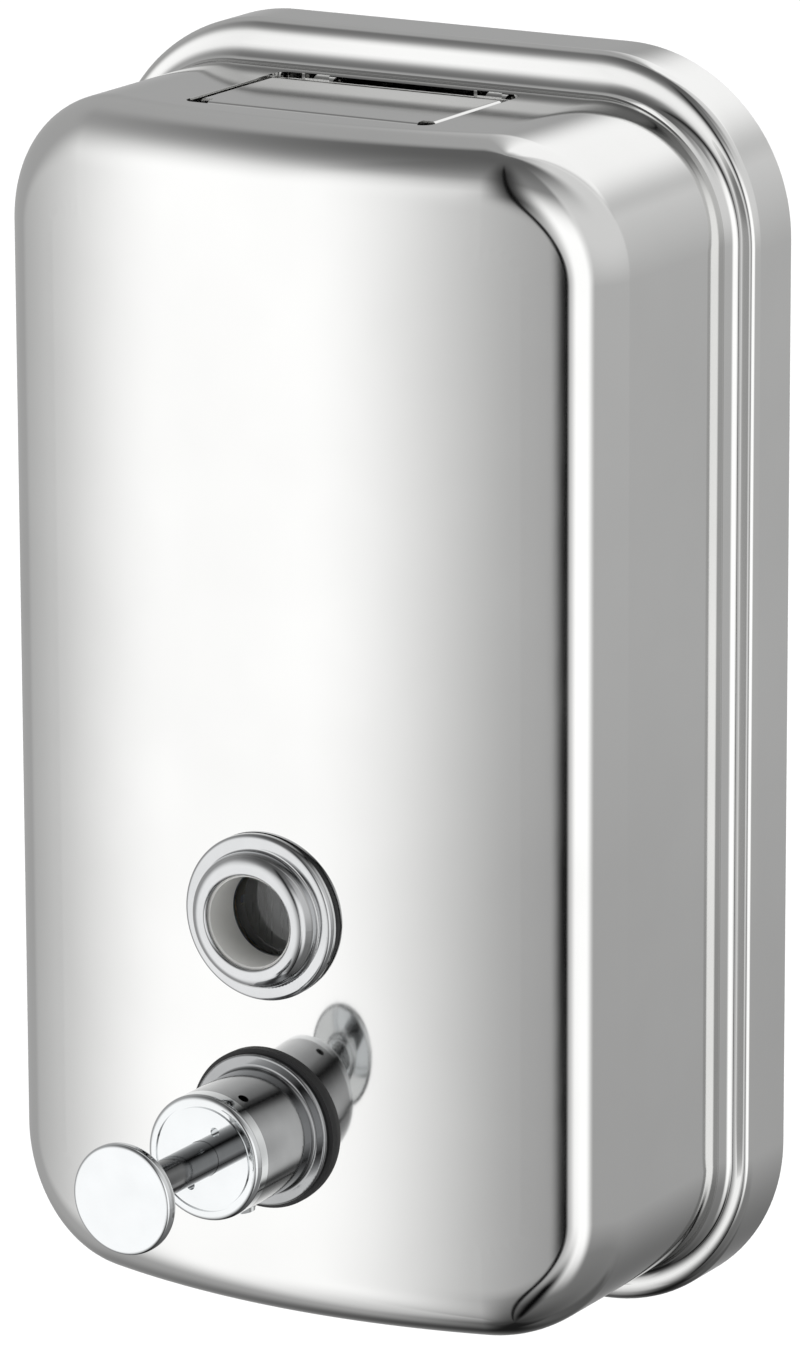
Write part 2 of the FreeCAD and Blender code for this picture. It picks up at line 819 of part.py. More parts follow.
def pump_barrel():
    """Moulded cylinder that holds the piston, closed behind, with an inlet boss below."""
    end = pump_back + pump_end_wall
    barrel = turned([
        (pump_bore_radius, pump_front, 0),
        (pump_outer_radius, pump_front, 0),
        (pump_outer_radius, pump_back, pump_end_round),
        (0, pump_back, 0),
        (0, end, 0),
        (pump_bore_radius, end, 0),
    ], valve_height)
    pocket_top = inlet_plug_top_z + inlet_ball_space()
    boss = rod_z(inlet_boss_radius, inlet_boss_bottom_z, valve_height - pump_bore_radius, 0, inlet_y)
    boss = boss.cut(rod_y(pump_bore_radius, inlet_y - inlet_boss_radius - EXTRA, out(end), 0, valve_height))
    pocket = rod_z(inlet_pocket_radius, inlet_boss_bottom_z - EXTRA, pocket_top, 0, inlet_y)
    port = rod_z(inlet_seat_radius, pocket_top - EXTRA, valve_height, 0, inlet_y)
    return joined(barrel, boss).cut(pocket).cut(port)


def inlet_ball_space():
    """Height of the pocket that the inlet ball lifts in."""
    return 2 * inlet_ball_radius + inlet_seat_radius / 2


def inlet_seat():
    """Plug pressed into the boss: ball seat on top, flange and hose barb below."""
    plug = rod_z(inlet_pocket_radius, inlet_boss_bottom_z, inlet_plug_top_z, 0, inlet_y)
    flange = rod_z(inlet_boss_radius, inlet_boss_bottom_z - barb_flange, inlet_boss_bottom_z, 0, inlet_y)
    barb_bottom = inlet_boss_bottom_z - barb_flange - barb_length
    barb = rod_z(barb_radius, barb_bottom, inlet_boss_bottom_z - barb_flange, 0, inlet_y)
    bore = rod_z(inlet_seat_radius, barb_bottom - EXTRA, inlet_plug_top_z + EXTRA, 0, inlet_y)
    return joined(plug, flange, barb).cut(bore)


def inlet_ball():
    lift = math.sqrt(inlet_ball_radius ** 2 - inlet_seat_radius ** 2) + ball_play
    return ball(inlet_ball_radius, 0, inlet_y, inlet_plug_top_z + lift)


def suction_tube():
    """Hose from the barb down to just above the tank's floor."""
    top = inlet_boss_bottom_z - barb_flange
    bottom = -inner_top_z + tube_floor_gap
    tube = rod_z(barb_radius + tube_wall, bottom, top, 0, inlet_y)
    return tube.cut(rod_z(barb_radius, bottom - EXTRA, top + EXTRA, 0, inlet_y))


def return_spring():
    """Compression spring, of eight-sided wire, from the piston to the barrel's closed end."""
    front = out(piston_back) + spring_play + spring_wire / 2
    back = out(pump_back + pump_end_wall) - spring_play - spring_wire / 2
    height = back - front
    pitch = height / spring_turns
    helix = Part.makeHelix(pitch, height, spring_radius)
    outward = V(1, 0, 0)
    along = V(0, 2 * math.pi * spring_radius, pitch).normalize()
    upward = outward.cross(along)
    flats = []
    for step in range(spring_wire_sides + 1):
        angle = 2 * math.pi * step / spring_wire_sides
        across = outward * math.cos(angle) + upward * math.sin(angle)
        flats.append(outward * spring_radius + across * (spring_wire / 2))
    coil = Part.Wire(helix.Edges).makePipeShell([Part.makePolygon(flats)], True, True)
    coil.rotate(V(0, 0, 0), V(1, 0, 0), -90)
    coil.translate(V(0, front, valve_height))
    return coil


# ---------------------------------------------------------------- assembly
def build():
    outside = body_block(0, 0)
    inside = body_block(body_sheet, EXTRA)
    return {
        "body_shell": body_shell(outside, inside),
        "back_plate": back_plate(),
        "hanger": hanger(),
        "wall_bracket": wall_bracket(),
        "lock_bush": lock_bush(),
        "lock_screw": lock_screw(),
        "filler_well": filler_well(),
        "lid_gasket": lid_gasket(),
        "lid": lid(),
        "lid_hinge_pin": lid_hinge_pin(),
        "lid_catch_spring": lid_catch_spring(),
        "window_bezel": window_bezel(),
        "window_lens": window_lens(),
        "lens_seal": lens_seal(),
        "lens_retainer": lens_retainer(),
        "window_gasket": seated_ring(
            window_tail_radius + hole_play, bezel_radius - hole_play, window_height, window_rubber, outside
        ),
        "window_washer": inner_washer(
            window_tail_radius + hole_play, window_nut_flats / 2, window_height, inside
        ),
        "window_nut": clamp_nut(window_nut_flats, window_tail_radius, window_height),
        "valve_body": valve_body(),
        "valve_gasket": seated_ring(spigot_radius, valve_gasket_radius, valve_height, gasket_rubber, outside),
        "valve_washer": inner_washer(spigot_radius, valve_nut_flats / 2, valve_height, inside),
        "valve_nut": clamp_nut(valve_nut_flats, valve_tail_radius, valve_height),
        "valve_cap": valve_cap(),
        "stem_seal": stem_ring(stem_seal_radius, valve_length, stem_seal_thickness),
        "rod_seal": stem_ring(pump_bore_radius, pump_front, rod_seal_thickness),
        "outlet_nozzle": outlet_nozzle(),
        "pump_barrel": pump_barrel(),
        "inlet_seat": inlet_seat(),
        "inlet_ball": inlet_ball(),
        "suction_tube": suction_tube(),
        "return_spring": return_spring(),
        "push_button": push_button(),
        "plunger_rod": plunger_rod(),
        "piston": piston(),
        "piston_seal": piston_seal(),
        "outlet_ball": outlet_ball(),
    }


os.makedirs("parts", exist_ok=True)
for name, shape in build().items():
    shape.exportStep("parts/" + name + ".step")
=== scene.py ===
import json
import math

import bmesh
import bpy
from bpy.props import FloatProperty, FloatVectorProperty, IntProperty, PointerProperty, StringProperty
from mathutils import Euler, Matrix, Quaternion, Vector


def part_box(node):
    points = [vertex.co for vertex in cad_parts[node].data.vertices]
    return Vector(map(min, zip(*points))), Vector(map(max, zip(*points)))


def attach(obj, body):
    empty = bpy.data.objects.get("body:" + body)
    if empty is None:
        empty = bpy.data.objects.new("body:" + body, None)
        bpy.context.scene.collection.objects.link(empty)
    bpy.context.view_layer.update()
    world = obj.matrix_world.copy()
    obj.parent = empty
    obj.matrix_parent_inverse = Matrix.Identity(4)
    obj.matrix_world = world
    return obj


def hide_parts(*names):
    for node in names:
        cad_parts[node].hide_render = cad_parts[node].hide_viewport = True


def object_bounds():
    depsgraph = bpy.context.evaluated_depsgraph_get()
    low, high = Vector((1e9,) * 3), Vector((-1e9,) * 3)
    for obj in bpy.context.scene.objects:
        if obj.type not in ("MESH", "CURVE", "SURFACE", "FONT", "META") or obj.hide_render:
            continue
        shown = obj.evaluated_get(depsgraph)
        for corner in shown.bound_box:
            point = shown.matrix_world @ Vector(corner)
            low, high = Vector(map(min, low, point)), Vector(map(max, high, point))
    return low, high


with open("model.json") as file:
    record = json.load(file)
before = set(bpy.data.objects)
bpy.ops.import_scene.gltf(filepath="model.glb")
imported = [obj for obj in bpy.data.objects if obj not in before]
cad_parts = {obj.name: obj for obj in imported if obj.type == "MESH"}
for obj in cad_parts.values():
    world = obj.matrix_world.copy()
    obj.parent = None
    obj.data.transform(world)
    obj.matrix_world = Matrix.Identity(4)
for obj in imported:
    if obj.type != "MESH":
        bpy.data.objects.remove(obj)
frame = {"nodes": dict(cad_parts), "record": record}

bl_info = {
    "name": "Wall Soap Dispenser",
    "version": (1, 0, 0),
    "blender": (4, 5, 0),
    "location": "View3D > Sidebar > Dispenser",
    "description": "Builds the looks of a wall mounted soap dispenser round its packed model",
    "category": "Object",
}

MM = 0.001
CAD_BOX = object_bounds()


# ---------------------------------------------------------------- colours and nodes
def linear(code):
    """Linear RGBA of an sRGB hex colour."""
    channels = [int(code[i:i + 2], 16) / 255 for i in (1, 3, 5)]
    return tuple(c / 12.92 if c <= 0.04045 else ((c + 0.055) / 1.055) ** 2.4 for c in channels) + (1.0,)


def add_node(tree, kind, settings=(), links=(), ramp=()):
    """Adds a node with its settings and links. Inputs go by name or number, properties by name."""
    node = tree.nodes.new(kind)
    settings = dict(settings)
    for name in [n for n in settings if isinstance(n, str) and hasattr(node, n)]:
        setattr(node, name, settings.pop(name))
    for name, value in settings.items():
        node.inputs[name].default_value = value
    for name, output in dict(links).items():
        tree.links.new(output, node.inputs[name])
    if ramp:
        elements = node.color_ramp.elements
        while len(elements) < len(ramp):
            elements.new(1.0)
        for element, (position, colour) in zip(elements, ramp):
            element.position = position
            element.color = colour
    return node


# ---------------------------------------------------------------- materials
def new_material(name):
    """An empty material with its shader and the part's own coordinates."""
    material = bpy.data.materials.new(name)
    material.use_nodes = True
    tree = material.node_tree
    tree.nodes.clear()
    shader = add_node(tree, "ShaderNodeBsdfPrincipled")
    add_node(tree, "ShaderNodeOutputMaterial", links={"Surface": shader.outputs["BSDF"]})
    place = add_node(tree, "ShaderNodeTexCoord")
    return material, tree, shader, place.outputs["Object"]


def middle(node):
    """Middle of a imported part's box, in metres."""
    low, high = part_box(node)
    return (low + high) / 2


def per_metre(size_mm):
    """Pattern scale that repeats about once in this many millimetres."""
    return 1.0 / (size_mm * MM)


def connect(tree, shader, colour=None, roughness=None, bump=None, strength=0.1, depth_mm=0.01):
    """Joins patterns to the shader's colour, roughness and surface height."""
    if colour is not None:
        tree.links.new(colour, shader.inputs["Base Color"])
    if roughness is not None:
        tree.links.new(roughness, shader.inputs["Roughness"])
    if bump is not None:
        relief = add_node(tree, "ShaderNodeBump", {"Strength": strength, "Distance": depth_mm * MM},
                          {"Height": bump})
        tree.links.new(relief.outputs["Normal"], shader.inputs["Normal"])


def mirror_polished_stainless():
    """Drawn stainless sheet, buffed to a mirror: crisp image, faint drawing lines and polish haze."""
    material, tree, shader, place = new_material("mirror_polished_stainless")
    shader.inputs["Metallic"].default_value = 1.0
    lines = add_node(tree, "ShaderNodeMapping", {"Scale": (1.0, 1.0, 0.04)}, {"Vector": place})
    streaks = add_node(tree, "ShaderNodeTexNoise", {"Scale": per_metre(1.6), "Detail": 4.0, "Roughness": 0.6},
                       {"Vector": lines.outputs["Vector"]})
    haze = add_node(tree, "ShaderNodeTexNoise", {"Scale": per_metre(45.0), "Detail": 3.0, "Roughness": 0.55},
                    {"Vector": place})
    mixed = add_node(tree, "ShaderNodeMix", {"data_type": "FLOAT", 0: 0.5},
                     {2: streaks.outputs["Fac"], 3: haze.outputs["Fac"]})
    rough = add_node(tree, "ShaderNodeMapRange", {"From Min": 0.3, "From Max": 0.7, "To Min": 0.035, "To Max": 0.075},
                     {"Value": mixed.outputs[0]})
    colour = add_node(tree, "ShaderNodeValToRGB", {}, {"Fac": haze.outputs["Fac"]},
                      ((0.3, linear("#DBDBDA")), (0.7, linear("#E1E1E0"))))
    connect(tree, shader, colour.outputs["Color"], rough.outputs["Result"])
    return material


def bright_chrome_on_turned_brass():
    """Chrome over lathe work: colder and a little sharper than the sheet, with fine turning rings."""
    material, tree, shader, place = new_material("bright_chrome_on_turned_brass")
    shader.inputs["Metallic"].default_value = 1.0
    centred = add_node(tree, "ShaderNodeMapping", {"Location": (0.0, 0.0, -middle("valve_nut").z)},
                       {"Vector": place})
    rings = add_node(tree, "ShaderNodeTexWave", {"wave_type": "RINGS", "rings_direction": "Y",
                     "Scale": per_metre(0.9) * math.tau / 20, "Distortion": 0.6, "Detail": 2.0},
                     {"Vector": centred.outputs["Vector"]})
    cloud = add_node(tree, "ShaderNodeTexNoise", {"Scale": per_metre(9.0), "Detail": 3.0}, {"Vector": place})
    mixed = add_node(tree, "ShaderNodeMix", {"data_type": "FLOAT", 0: 0.6},
                     {2: rings.outputs["Fac"], 3: cloud.outputs["Fac"]})
    rough = add_node(tree, "ShaderNodeMapRange", {"From Min": 0.1, "From Max": 0.8, "To Min": 0.03, "To Max": 0.07},
                     {"Value": mixed.outputs[0]})
    colour = add_node(tree, "ShaderNodeValToRGB", {}, {"Fac": cloud.outputs["Fac"]},
                      ((0.3, linear("#D6D8D9")), (0.7, linear("#DDDFE0"))))
    connect(tree, shader, colour.outputs["Color"], rough.outputs["Result"])
    return material


def flash_chrome(name, dark, light, smooth, dull):
    """Thin chrome over a surface that was only ground: darker than the buffed pieces, with a soft haze."""
    material, tree, shader, place = new_material(name)
    shader.inputs["Metallic"].default_value = 1.0
    grit = add_node(tree, "ShaderNodeTexNoise", {"Scale": per_metre(0.5), "Detail": 4.0, "Roughness": 0.6},
                    {"Vector": place})
    cloud = add_node(tree, "ShaderNodeTexNoise", {"Scale": per_metre(7.0), "Detail": 3.0}, {"Vector": place})
    mixed = add_node(tree, "ShaderNodeMix", {"data_type": "FLOAT", 0: 0.5},
                     {2: grit.outputs["Fac"], 3: cloud.outputs["Fac"]})
    rough = add_node(tree, "ShaderNodeMapRange", {"From Min": 0.3, "From Max": 0.7, "To Min": smooth, "To Max": dull},
                     {"Value": mixed.outputs[0]})
    colour = add_node(tree, "ShaderNodeValToRGB", {}, {"Fac": cloud.outputs["Fac"]},
                      ((0.3, linear(dark)), (0.7, linear(light))))
    connect(tree, shader, colour.outputs["Color"], rough.outputs["Result"])
    return material


def ground_bar_chrome():
    """The valve's barrel: grey, with the ends of the bar's grinding showing as a haze."""
    return flash_chrome("ground_bar_chrome", "#9A9B9C", "#A4A5A6", 0.08, 0.14)


def oiled_stem_chrome():
    """The stem, always a little wet with soap and oil: the darkest of the bright pieces."""
    return flash_chrome("oiled_stem_chrome", "#666768", "#727374", 0.06, 0.12)


def satin_ring_chrome():
    """The window's ring, wiped often: a shade quieter than the buffed tank."""
    return flash_chrome("satin_ring_chrome", "#C2C3C4", "#CACBCC", 0.06, 0.11)


def mill_finish_stainless():
    """Cold rolled sheet as it leaves the mill: grey, soft gloss, long rolling grain."""
    material, tree, shader, place = new_material("mill_finish_stainless")
    shader.inputs["Metallic"].default_value = 1.0
    rolled = add_node(tree, "ShaderNodeMapping", {"Scale": (1.0, 1.0, 0.03)}, {"Vector": place})
    grain = add_node(tree, "ShaderNodeTexNoise", {"Scale": per_metre(0.7), "Detail": 5.0, "Roughness": 0.65},
                     {"Vector": rolled.outputs["Vector"]})
    cloud = add_node(tree, "ShaderNodeTexNoise", {"Scale": per_metre(22.0), "Detail": 3.0}, {"Vector": place})
    mixed = add_node(tree, "ShaderNodeMix", {"data_type": "FLOAT", 0: 0.4},
                     {2: grain.outputs["Fac"], 3: cloud.outputs["Fac"]})
    rough = add_node(tree, "ShaderNodeMapRange", {"From Min": 0.3, "From Max": 0.7, "To Min": 0.24, "To Max": 0.4},
                     {"Value": mixed.outputs[0]})
    colour = add_node(tree, "ShaderNodeValToRGB", {}, {"Fac": mixed.outputs[0]},
                      ((0.3, linear("#B4B4B2")), (0.7, linear("#CDCDCB"))))
    connect(tree, shader, colour.outputs["Color"], rough.outputs["Result"], grain.outputs["Fac"], 0.25, 0.02)
    return material


def zinc_plated_steel():
    """Pressed steel with bright zinc: bluish grey, cloudy, dulled by handling."""
    material, tree, shader, place = new_material("zinc_plated_steel")
    shader.inputs["Metallic"].default_value = 1.0
    cloud = add_node(tree, "ShaderNodeTexNoise", {"Scale": per_metre(14.0), "Detail": 5.0, "Roughness": 0.6},
                     {"Vector": place})
    speck = add_node(tree, "ShaderNodeTexVoronoi", {"Scale": per_metre(2.4)}, {"Vector": place})
    mixed = add_node(tree, "ShaderNodeMix", {"data_type": "FLOAT", 0: 0.3},
                     {2: cloud.outputs["Fac"], 3: speck.outputs["Distance"]})
    colour = add_node(tree, "ShaderNodeValToRGB", {}, {"Fac": mixed.outputs[0]},
                      ((0.3, linear("#A3A9AE")), (0.7, linear("#C3C8CC"))))
    rough = add_node(tree, "ShaderNodeMapRange", {"From Min": 0.3, "From Max": 0.7, "To Min": 0.3, "To Max": 0.48},
                     {"Value": mixed.outputs[0]})
    connect(tree, shader, colour.outputs["Color"], rough.outputs["Result"], cloud.outputs["Fac"], 0.15, 0.03)
    return material


def turned_brass():
    """Machined brass bar: warm yellow with the lathe's fine rings."""
    material, tree, shader, place = new_material("turned_brass")
    shader.inputs["Metallic"].default_value = 1.0
    centred = add_node(tree, "ShaderNodeMapping", {"Location": (0.0, 0.0, -middle("window_nut").z)},
                       {"Vector": place})
    rings = add_node(tree, "ShaderNodeTexWave", {"wave_type": "RINGS", "rings_direction": "Y",
                     "Scale": per_metre(0.6) * math.tau / 20, "Distortion": 1.0, "Detail": 2.0},
                     {"Vector": centred.outputs["Vector"]})
    cloud = add_node(tree, "ShaderNodeTexNoise", {"Scale": per_metre(6.0), "Detail": 4.0}, {"Vector": place})
    colour = add_node(tree, "ShaderNodeValToRGB", {}, {"Fac": cloud.outputs["Fac"]},
                      ((0.3, linear("#C39A4E")), (0.7, linear("#D9B768"))))
    rough = add_node(tree, "ShaderNodeMapRange", {"To Min": 0.2, "To Max": 0.32}, {"Value": rings.outputs["Fac"]})
    connect(tree, shader, colour.outputs["Color"], rough.outputs["Result"], rings.outputs["Fac"], 0.2, 0.01)
    return material


def moulded_black_rubber():
    """Compression moulded rubber: near black, low sheen, fine mould grain. On the valve's gasket ring this near black
    also stands in for the shadow gap and dark reflection round the valve's flange: painted shade.
    """
    material, tree, shader, place = new_material("moulded_black_rubber")
    shader.inputs["IOR"].default_value = 1.52
    grain = add_node(tree, "ShaderNodeTexNoise", {"Scale": per_metre(0.35), "Detail": 3.0}, {"Vector": place})
    cloud = add_node(tree, "ShaderNodeTexNoise", {"Scale": per_metre(7.0), "Detail": 2.0}, {"Vector": place})
    colour = add_node(tree, "ShaderNodeValToRGB", {}, {"Fac": cloud.outputs["Fac"]},
                      ((0.3, linear("#1B1B1C")), (0.7, linear("#262627"))))
    rough = add_node(tree, "ShaderNodeMapRange", {"To Min": 0.5, "To Max": 0.68}, {"Value": grain.outputs["Fac"]})
    connect(tree, shader, colour.outputs["Color"], rough.outputs["Result"], grain.outputs["Fac"], 0.3, 0.02)
    return material


def clear_polycarbonate():
    """Injection moulded clear plug: glassy, with a faint flow mark and a trace of smoke in the tint."""
    material, tree, shader, place = new_material("clear_polycarbonate")
    shader.inputs["IOR"].default_value = 1.585
    shader.inputs["Transmission Weight"].default_value = 1.0
    flow = add_node(tree, "ShaderNodeTexNoise", {"Scale": per_metre(5.0), "Detail": 2.0, "Distortion": 0.6},
                    {"Vector": place})
    colour = add_node(tree, "ShaderNodeValToRGB", {}, {"Fac": flow.outputs["Fac"]},
                      ((0.3, linear("#E4E8E8")), (0.7, linear("#EEF1F1"))))
    rough = add_node(tree, "ShaderNodeMapRange", {"To Min": 0.01, "To Max": 0.05}, {"Value": flow.outputs["Fac"]})
    connect(tree, shader, colour.outputs["Color"], rough.outputs["Result"], flow.outputs["Fac"], 0.05, 0.02)
    return material


def moulded_acetal():
    """Natural acetal: milky white, smooth and faintly waxy."""
    material, tree, shader, place = new_material("moulded_acetal")
    shader.inputs["IOR"].default_value = 1.48
    shader.inputs["Subsurface Weight"].default_value = 0.15
    shader.inputs["Subsurface Radius"].default_value = (1.0, 1.0, 1.0)
    shader.inputs["Subsurface Scale"].default_value = 1.5 * MM
    cloud = add_node(tree, "ShaderNodeTexNoise", {"Scale": per_metre(8.0), "Detail": 3.0}, {"Vector": place})
    skin = add_node(tree, "ShaderNodeTexNoise", {"Scale": per_metre(0.5), "Detail": 2.0}, {"Vector": place})
    colour = add_node(tree, "ShaderNodeValToRGB", {}, {"Fac": cloud.outputs["Fac"]},
                      ((0.3, linear("#D4D4D1")), (0.7, linear("#DEDEDB"))))
    rough = add_node(tree, "ShaderNodeMapRange", {"To Min": 0.32, "To Max": 0.45}, {"Value": skin.outputs["Fac"]})
    connect(tree, shader, colour.outputs["Color"], rough.outputs["Result"], skin.outputs["Fac"], 0.1, 0.01)
    return material


def extruded_polyethylene():
    """Natural hose: cloudy, half clear, with draw lines along it."""
    material, tree, shader, place = new_material("extruded_polyethylene")
    shader.inputs["IOR"].default_value = 1.51
    shader.inputs["Transmission Weight"].default_value = 0.55
    drawn = add_node(tree, "ShaderNodeMapping", {"Scale": (1.0, 1.0, 0.05)}, {"Vector": place})
    lines = add_node(tree, "ShaderNodeTexNoise", {"Scale": per_metre(0.8), "Detail": 2.0},
                     {"Vector": drawn.outputs["Vector"]})
    colour = add_node(tree, "ShaderNodeValToRGB", {}, {"Fac": lines.outputs["Fac"]},
                      ((0.3, linear("#DDE1DE")), (0.7, linear("#EAEDEB"))))
    rough = add_node(tree, "ShaderNodeMapRange", {"To Min": 0.35, "To Max": 0.5}, {"Value": lines.outputs["Fac"]})
    connect(tree, shader, colour.outputs["Color"], rough.outputs["Result"], lines.outputs["Fac"], 0.15, 0.02)
    return material


def drawn_spring_wire():
    """Stainless spring wire: dull silver with die lines."""
    material, tree, shader, place = new_material("drawn_spring_wire")
    shader.inputs["Metallic"].default_value = 1.0
    die = add_node(tree, "ShaderNodeTexNoise", {"Scale": per_metre(0.4), "Detail": 3.0}, {"Vector": place})
    colour = add_node(tree, "ShaderNodeValToRGB", {}, {"Fac": die.outputs["Fac"]},
                      ((0.3, linear("#A9A8A5")), (0.7, linear("#C4C3C0"))))
    rough = add_node(tree, "ShaderNodeMapRange", {"To Min": 0.22, "To Max": 0.36}, {"Value": die.outputs["Fac"]})
    connect(tree, shader, colour.outputs["Color"], rough.outputs["Result"], die.outputs["Fac"], 0.15, 0.01)
    return material


def ground_ball_steel():
    """Lapped steel balls: bright, even, with the last trace of the lapping."""
    material, tree, shader, place = new_material("ground_ball_steel")
    shader.inputs["Metallic"].default_value = 1.0
    lap = add_node(tree, "ShaderNodeTexNoise", {"Scale": per_metre(0.6), "Detail": 3.0}, {"Vector": place})
    colour = add_node(tree, "ShaderNodeValToRGB", {}, {"Fac": lap.outputs["Fac"]},
                      ((0.3, linear("#D2D2D1")), (0.7, linear("#DEDEDD"))))
    rough = add_node(tree, "ShaderNodeMapRange", {"To Min": 0.05, "To Max": 0.12}, {"Value": lap.outputs["Fac"]})
    connect(tree, shader, colour.outputs["Color"], rough.outputs["Result"])
    return material


FINISHES = {
    "polished_stainless": mirror_polished_stainless,
    "plain_stainless": mill_finish_stainless,
    "bracket_steel": zinc_plated_steel,
    "chrome_plate": bright_chrome_on_turned_brass,
    "nut_brass": turned_brass,
    "black_rubber": moulded_black_rubber,
    "clear_lens": clear_polycarbonate,
    "white_plastic": moulded_acetal,
    "tube_plastic": extruded_polyethylene,
    "spring_steel": drawn_spring_wire,
    "ball_steel": ground_ball_steel,
}


# Parts of a slot whose surface is worked differently from the rest.
OWN_FINISH = {"valve_body": ground_bar_chrome, "plunger_rod": oiled_stem_chrome, "window_bezel": satin_ring_chrome}


def finish(slot, node=""):
    """The material of a slot of the record, or of a part with its own, made once."""
    make = OWN_FINISH.get(node, FINISHES[slot])
    return bpy.data.materials.get(make.__name__) or make()


# ---------------------------------------------------------------- studio
# Soft panels round the object, in degrees: azimuth (0 in front, 90 to the right), half width, soft edge,
# elevation, half height, soft edge, and how bright the panel is. A later panel stands in front of an earlier one.
PANELS = (
    ("left wall", -89, 62, 5, 13, 87, 8, "#9B9B9B"),
    ("behind", -150, 14, 6, 14, 12, 8, "#969696"),
    ("right wall", 102, 44, 4, 39, 41, 17, "#CBCBCB"),
    ("key", -36, 32, 21, -14, 45, 28, "#FBFBFB"),
    ("ceiling", -5, 104, 16, 78, 28, 26, "#595959"),
    ("strip", 41, 17, 8, -8, 30, 18, "#FFFFFF"),
    ("flag", 18, 9, 9, 33, 33, 15, "#333333"),
    ("low flag", 29, 7, 6, -55, 29, 12, "#080808"),
    ("gap", 17.4, 1.5, 1.1, -10, 75, 8, "#0C0C0C"),
    ("high back", 176, 29, 12, 53, 29, 6, "#EEEEEE"),
    ("low back", -156, 41, 30, -72, 34, 30, "#191919"),
    ("low right", 170, 20, 14, -58, 15, 3, "#505050"),
)
ROOM = ((0.0, "#2C2C2C"), (0.17, "#676767"), (0.31, "#797979"), (0.44, "#A7A7A7"),
        (0.58, "#C2C2C2"), (0.72, "#868686"), (0.86, "#878787"), (1.0, "#969696"))


def light_world(reflectance, backdrop):
    """A room of soft panels for the metal to mirror, behind a plain pale backdrop."""
    world = bpy.data.worlds.new("studio")
    bpy.context.scene.world = world
    world.use_nodes = True
    tree = world.node_tree
    tree.nodes.clear()
    towards = add_node(tree, "ShaderNodeTexCoord")
    split = add_node(tree, "ShaderNodeSeparateXYZ", {}, {0: towards.outputs["Generated"]})
    forward = add_node(tree, "ShaderNodeMath", {"operation": "MULTIPLY", 1: -1.0}, {0: split.outputs["Y"]})
    turn = add_node(tree, "ShaderNodeMath", {"operation": "ARCTAN2"},
                    {0: split.outputs["X"], 1: forward.outputs[0]})
    azimuth = add_node(tree, "ShaderNodeMath", {"operation": "DEGREES"}, {0: turn.outputs[0]})
    rise = add_node(tree, "ShaderNodeMath", {"operation": "ARCSINE"}, {0: split.outputs["Z"]})
    elevation = add_node(tree, "ShaderNodeMath", {"operation": "DEGREES"}, {0: rise.outputs[0]})
    height = add_node(tree, "ShaderNodeMapRange", {"From Min": -90.0, "From Max": 90.0},
                      {"Value": elevation.outputs[0]})
    room = add_node(tree, "ShaderNodeValToRGB", {}, {"Fac": height.outputs["Result"]},
                    [(place, linear(code)) for place, code in ROOM])
    colour = room.outputs["Color"]
    for name, middle, half, soft, level, half_height, soft_height, code in PANELS:
        aside = add_node(tree, "ShaderNodeMath", {"operation": "SUBTRACT", 1: float(middle)},
                         {0: azimuth.outputs[0]})
        wrapped = add_node(tree, "ShaderNodeMath", {"operation": "WRAP", 1: 180.0, 2: -180.0},
                           {0: aside.outputs[0]})
        across = add_node(tree, "ShaderNodeMath", {"operation": "ABSOLUTE"}, {0: wrapped.outputs[0]})
        above = add_node(tree, "ShaderNodeMath", {"operation": "SUBTRACT", 1: float(level)},
                         {0: elevation.outputs[0]})
        upright = add_node(tree, "ShaderNodeMath", {"operation": "ABSOLUTE"}, {0: above.outputs[0]})
        masks = []
        for angle, reach, edge in ((across, half, soft), (upright, half_height, soft_height)):
            masks.append(add_node(
                tree, "ShaderNodeMapRange",
                {"interpolation_type": "SMOOTHSTEP", "From Min": float(reach - edge),
                 "From Max": float(reach + edge), "To Min": 1.0, "To Max": 0.0},
                {"Value": angle.outputs[0]}))
        cover = add_node(tree, "ShaderNodeMath", {"operation": "MULTIPLY"},
                         {0: masks[0].outputs["Result"], 1: masks[1].outputs["Result"]})
        panel = add_node(tree, "ShaderNodeMix", {"data_type": "RGBA", 7: linear(code)},
                         {0: cover.outputs[0], 6: colour})
        panel.label = name
        colour = panel.outputs[2]
    mirrored = add_node(tree, "ShaderNodeBackground", {"Strength": 1.0 / reflectance}, {"Color": colour})
    plain = add_node(tree, "ShaderNodeBackground", {"Color": backdrop})
    path = add_node(tree, "ShaderNodeLightPath")
    both = add_node(tree, "ShaderNodeMixShader", {},
                    {0: path.outputs["Is Camera Ray"], 1: mirrored.outputs[0], 2: plain.outputs[0]})
    add_node(tree, "ShaderNodeOutputWorld", {}, {"Surface": both.outputs[0]})


# ---------------------------------------------------------------- shapes, in millimetres
def link(name, bm, to_metres=True):
    """A new object at the origin from a finished mesh."""
    if to_metres:
        bmesh.ops.scale(bm, vec=(MM, MM, MM), verts=bm.verts)
    mesh = bpy.data.meshes.new(name)
    bm.to_mesh(mesh)
    bm.free()
    made = bpy.data.objects.new(name, mesh)
    bpy.context.scene.collection.objects.link(made)
    return made


def tidy(bm):
    """Merges doubles and turns every face outwards."""
    bmesh.ops.remove_doubles(bm, verts=bm.verts, dist=1e-4)
    bmesh.ops.recalc_face_normals(bm, faces=bm.faces)


def shade(piece, sharp_angle=32.0):
    """Smooth shading with crisp arrises, led by the larger faces so that flats mirror flat."""
    piece.data.shade_smooth()
    piece.data.set_sharp_from_angle(angle=math.radians(sharp_angle))
    weighted = piece.modifiers.new("flats", "WEIGHTED_NORMAL")
    weighted.mode = "FACE_AREA"
    weighted.weight = 100
    weighted.keep_sharp = True


def settle(piece, slot, body, *nodes):
    """Gives a piece its finish and puts it in its nodes' place."""
    piece.data.materials.clear()
    piece.data.materials.append(finish(slot))
    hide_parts(*nodes)
    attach(piece, body)
    return piece


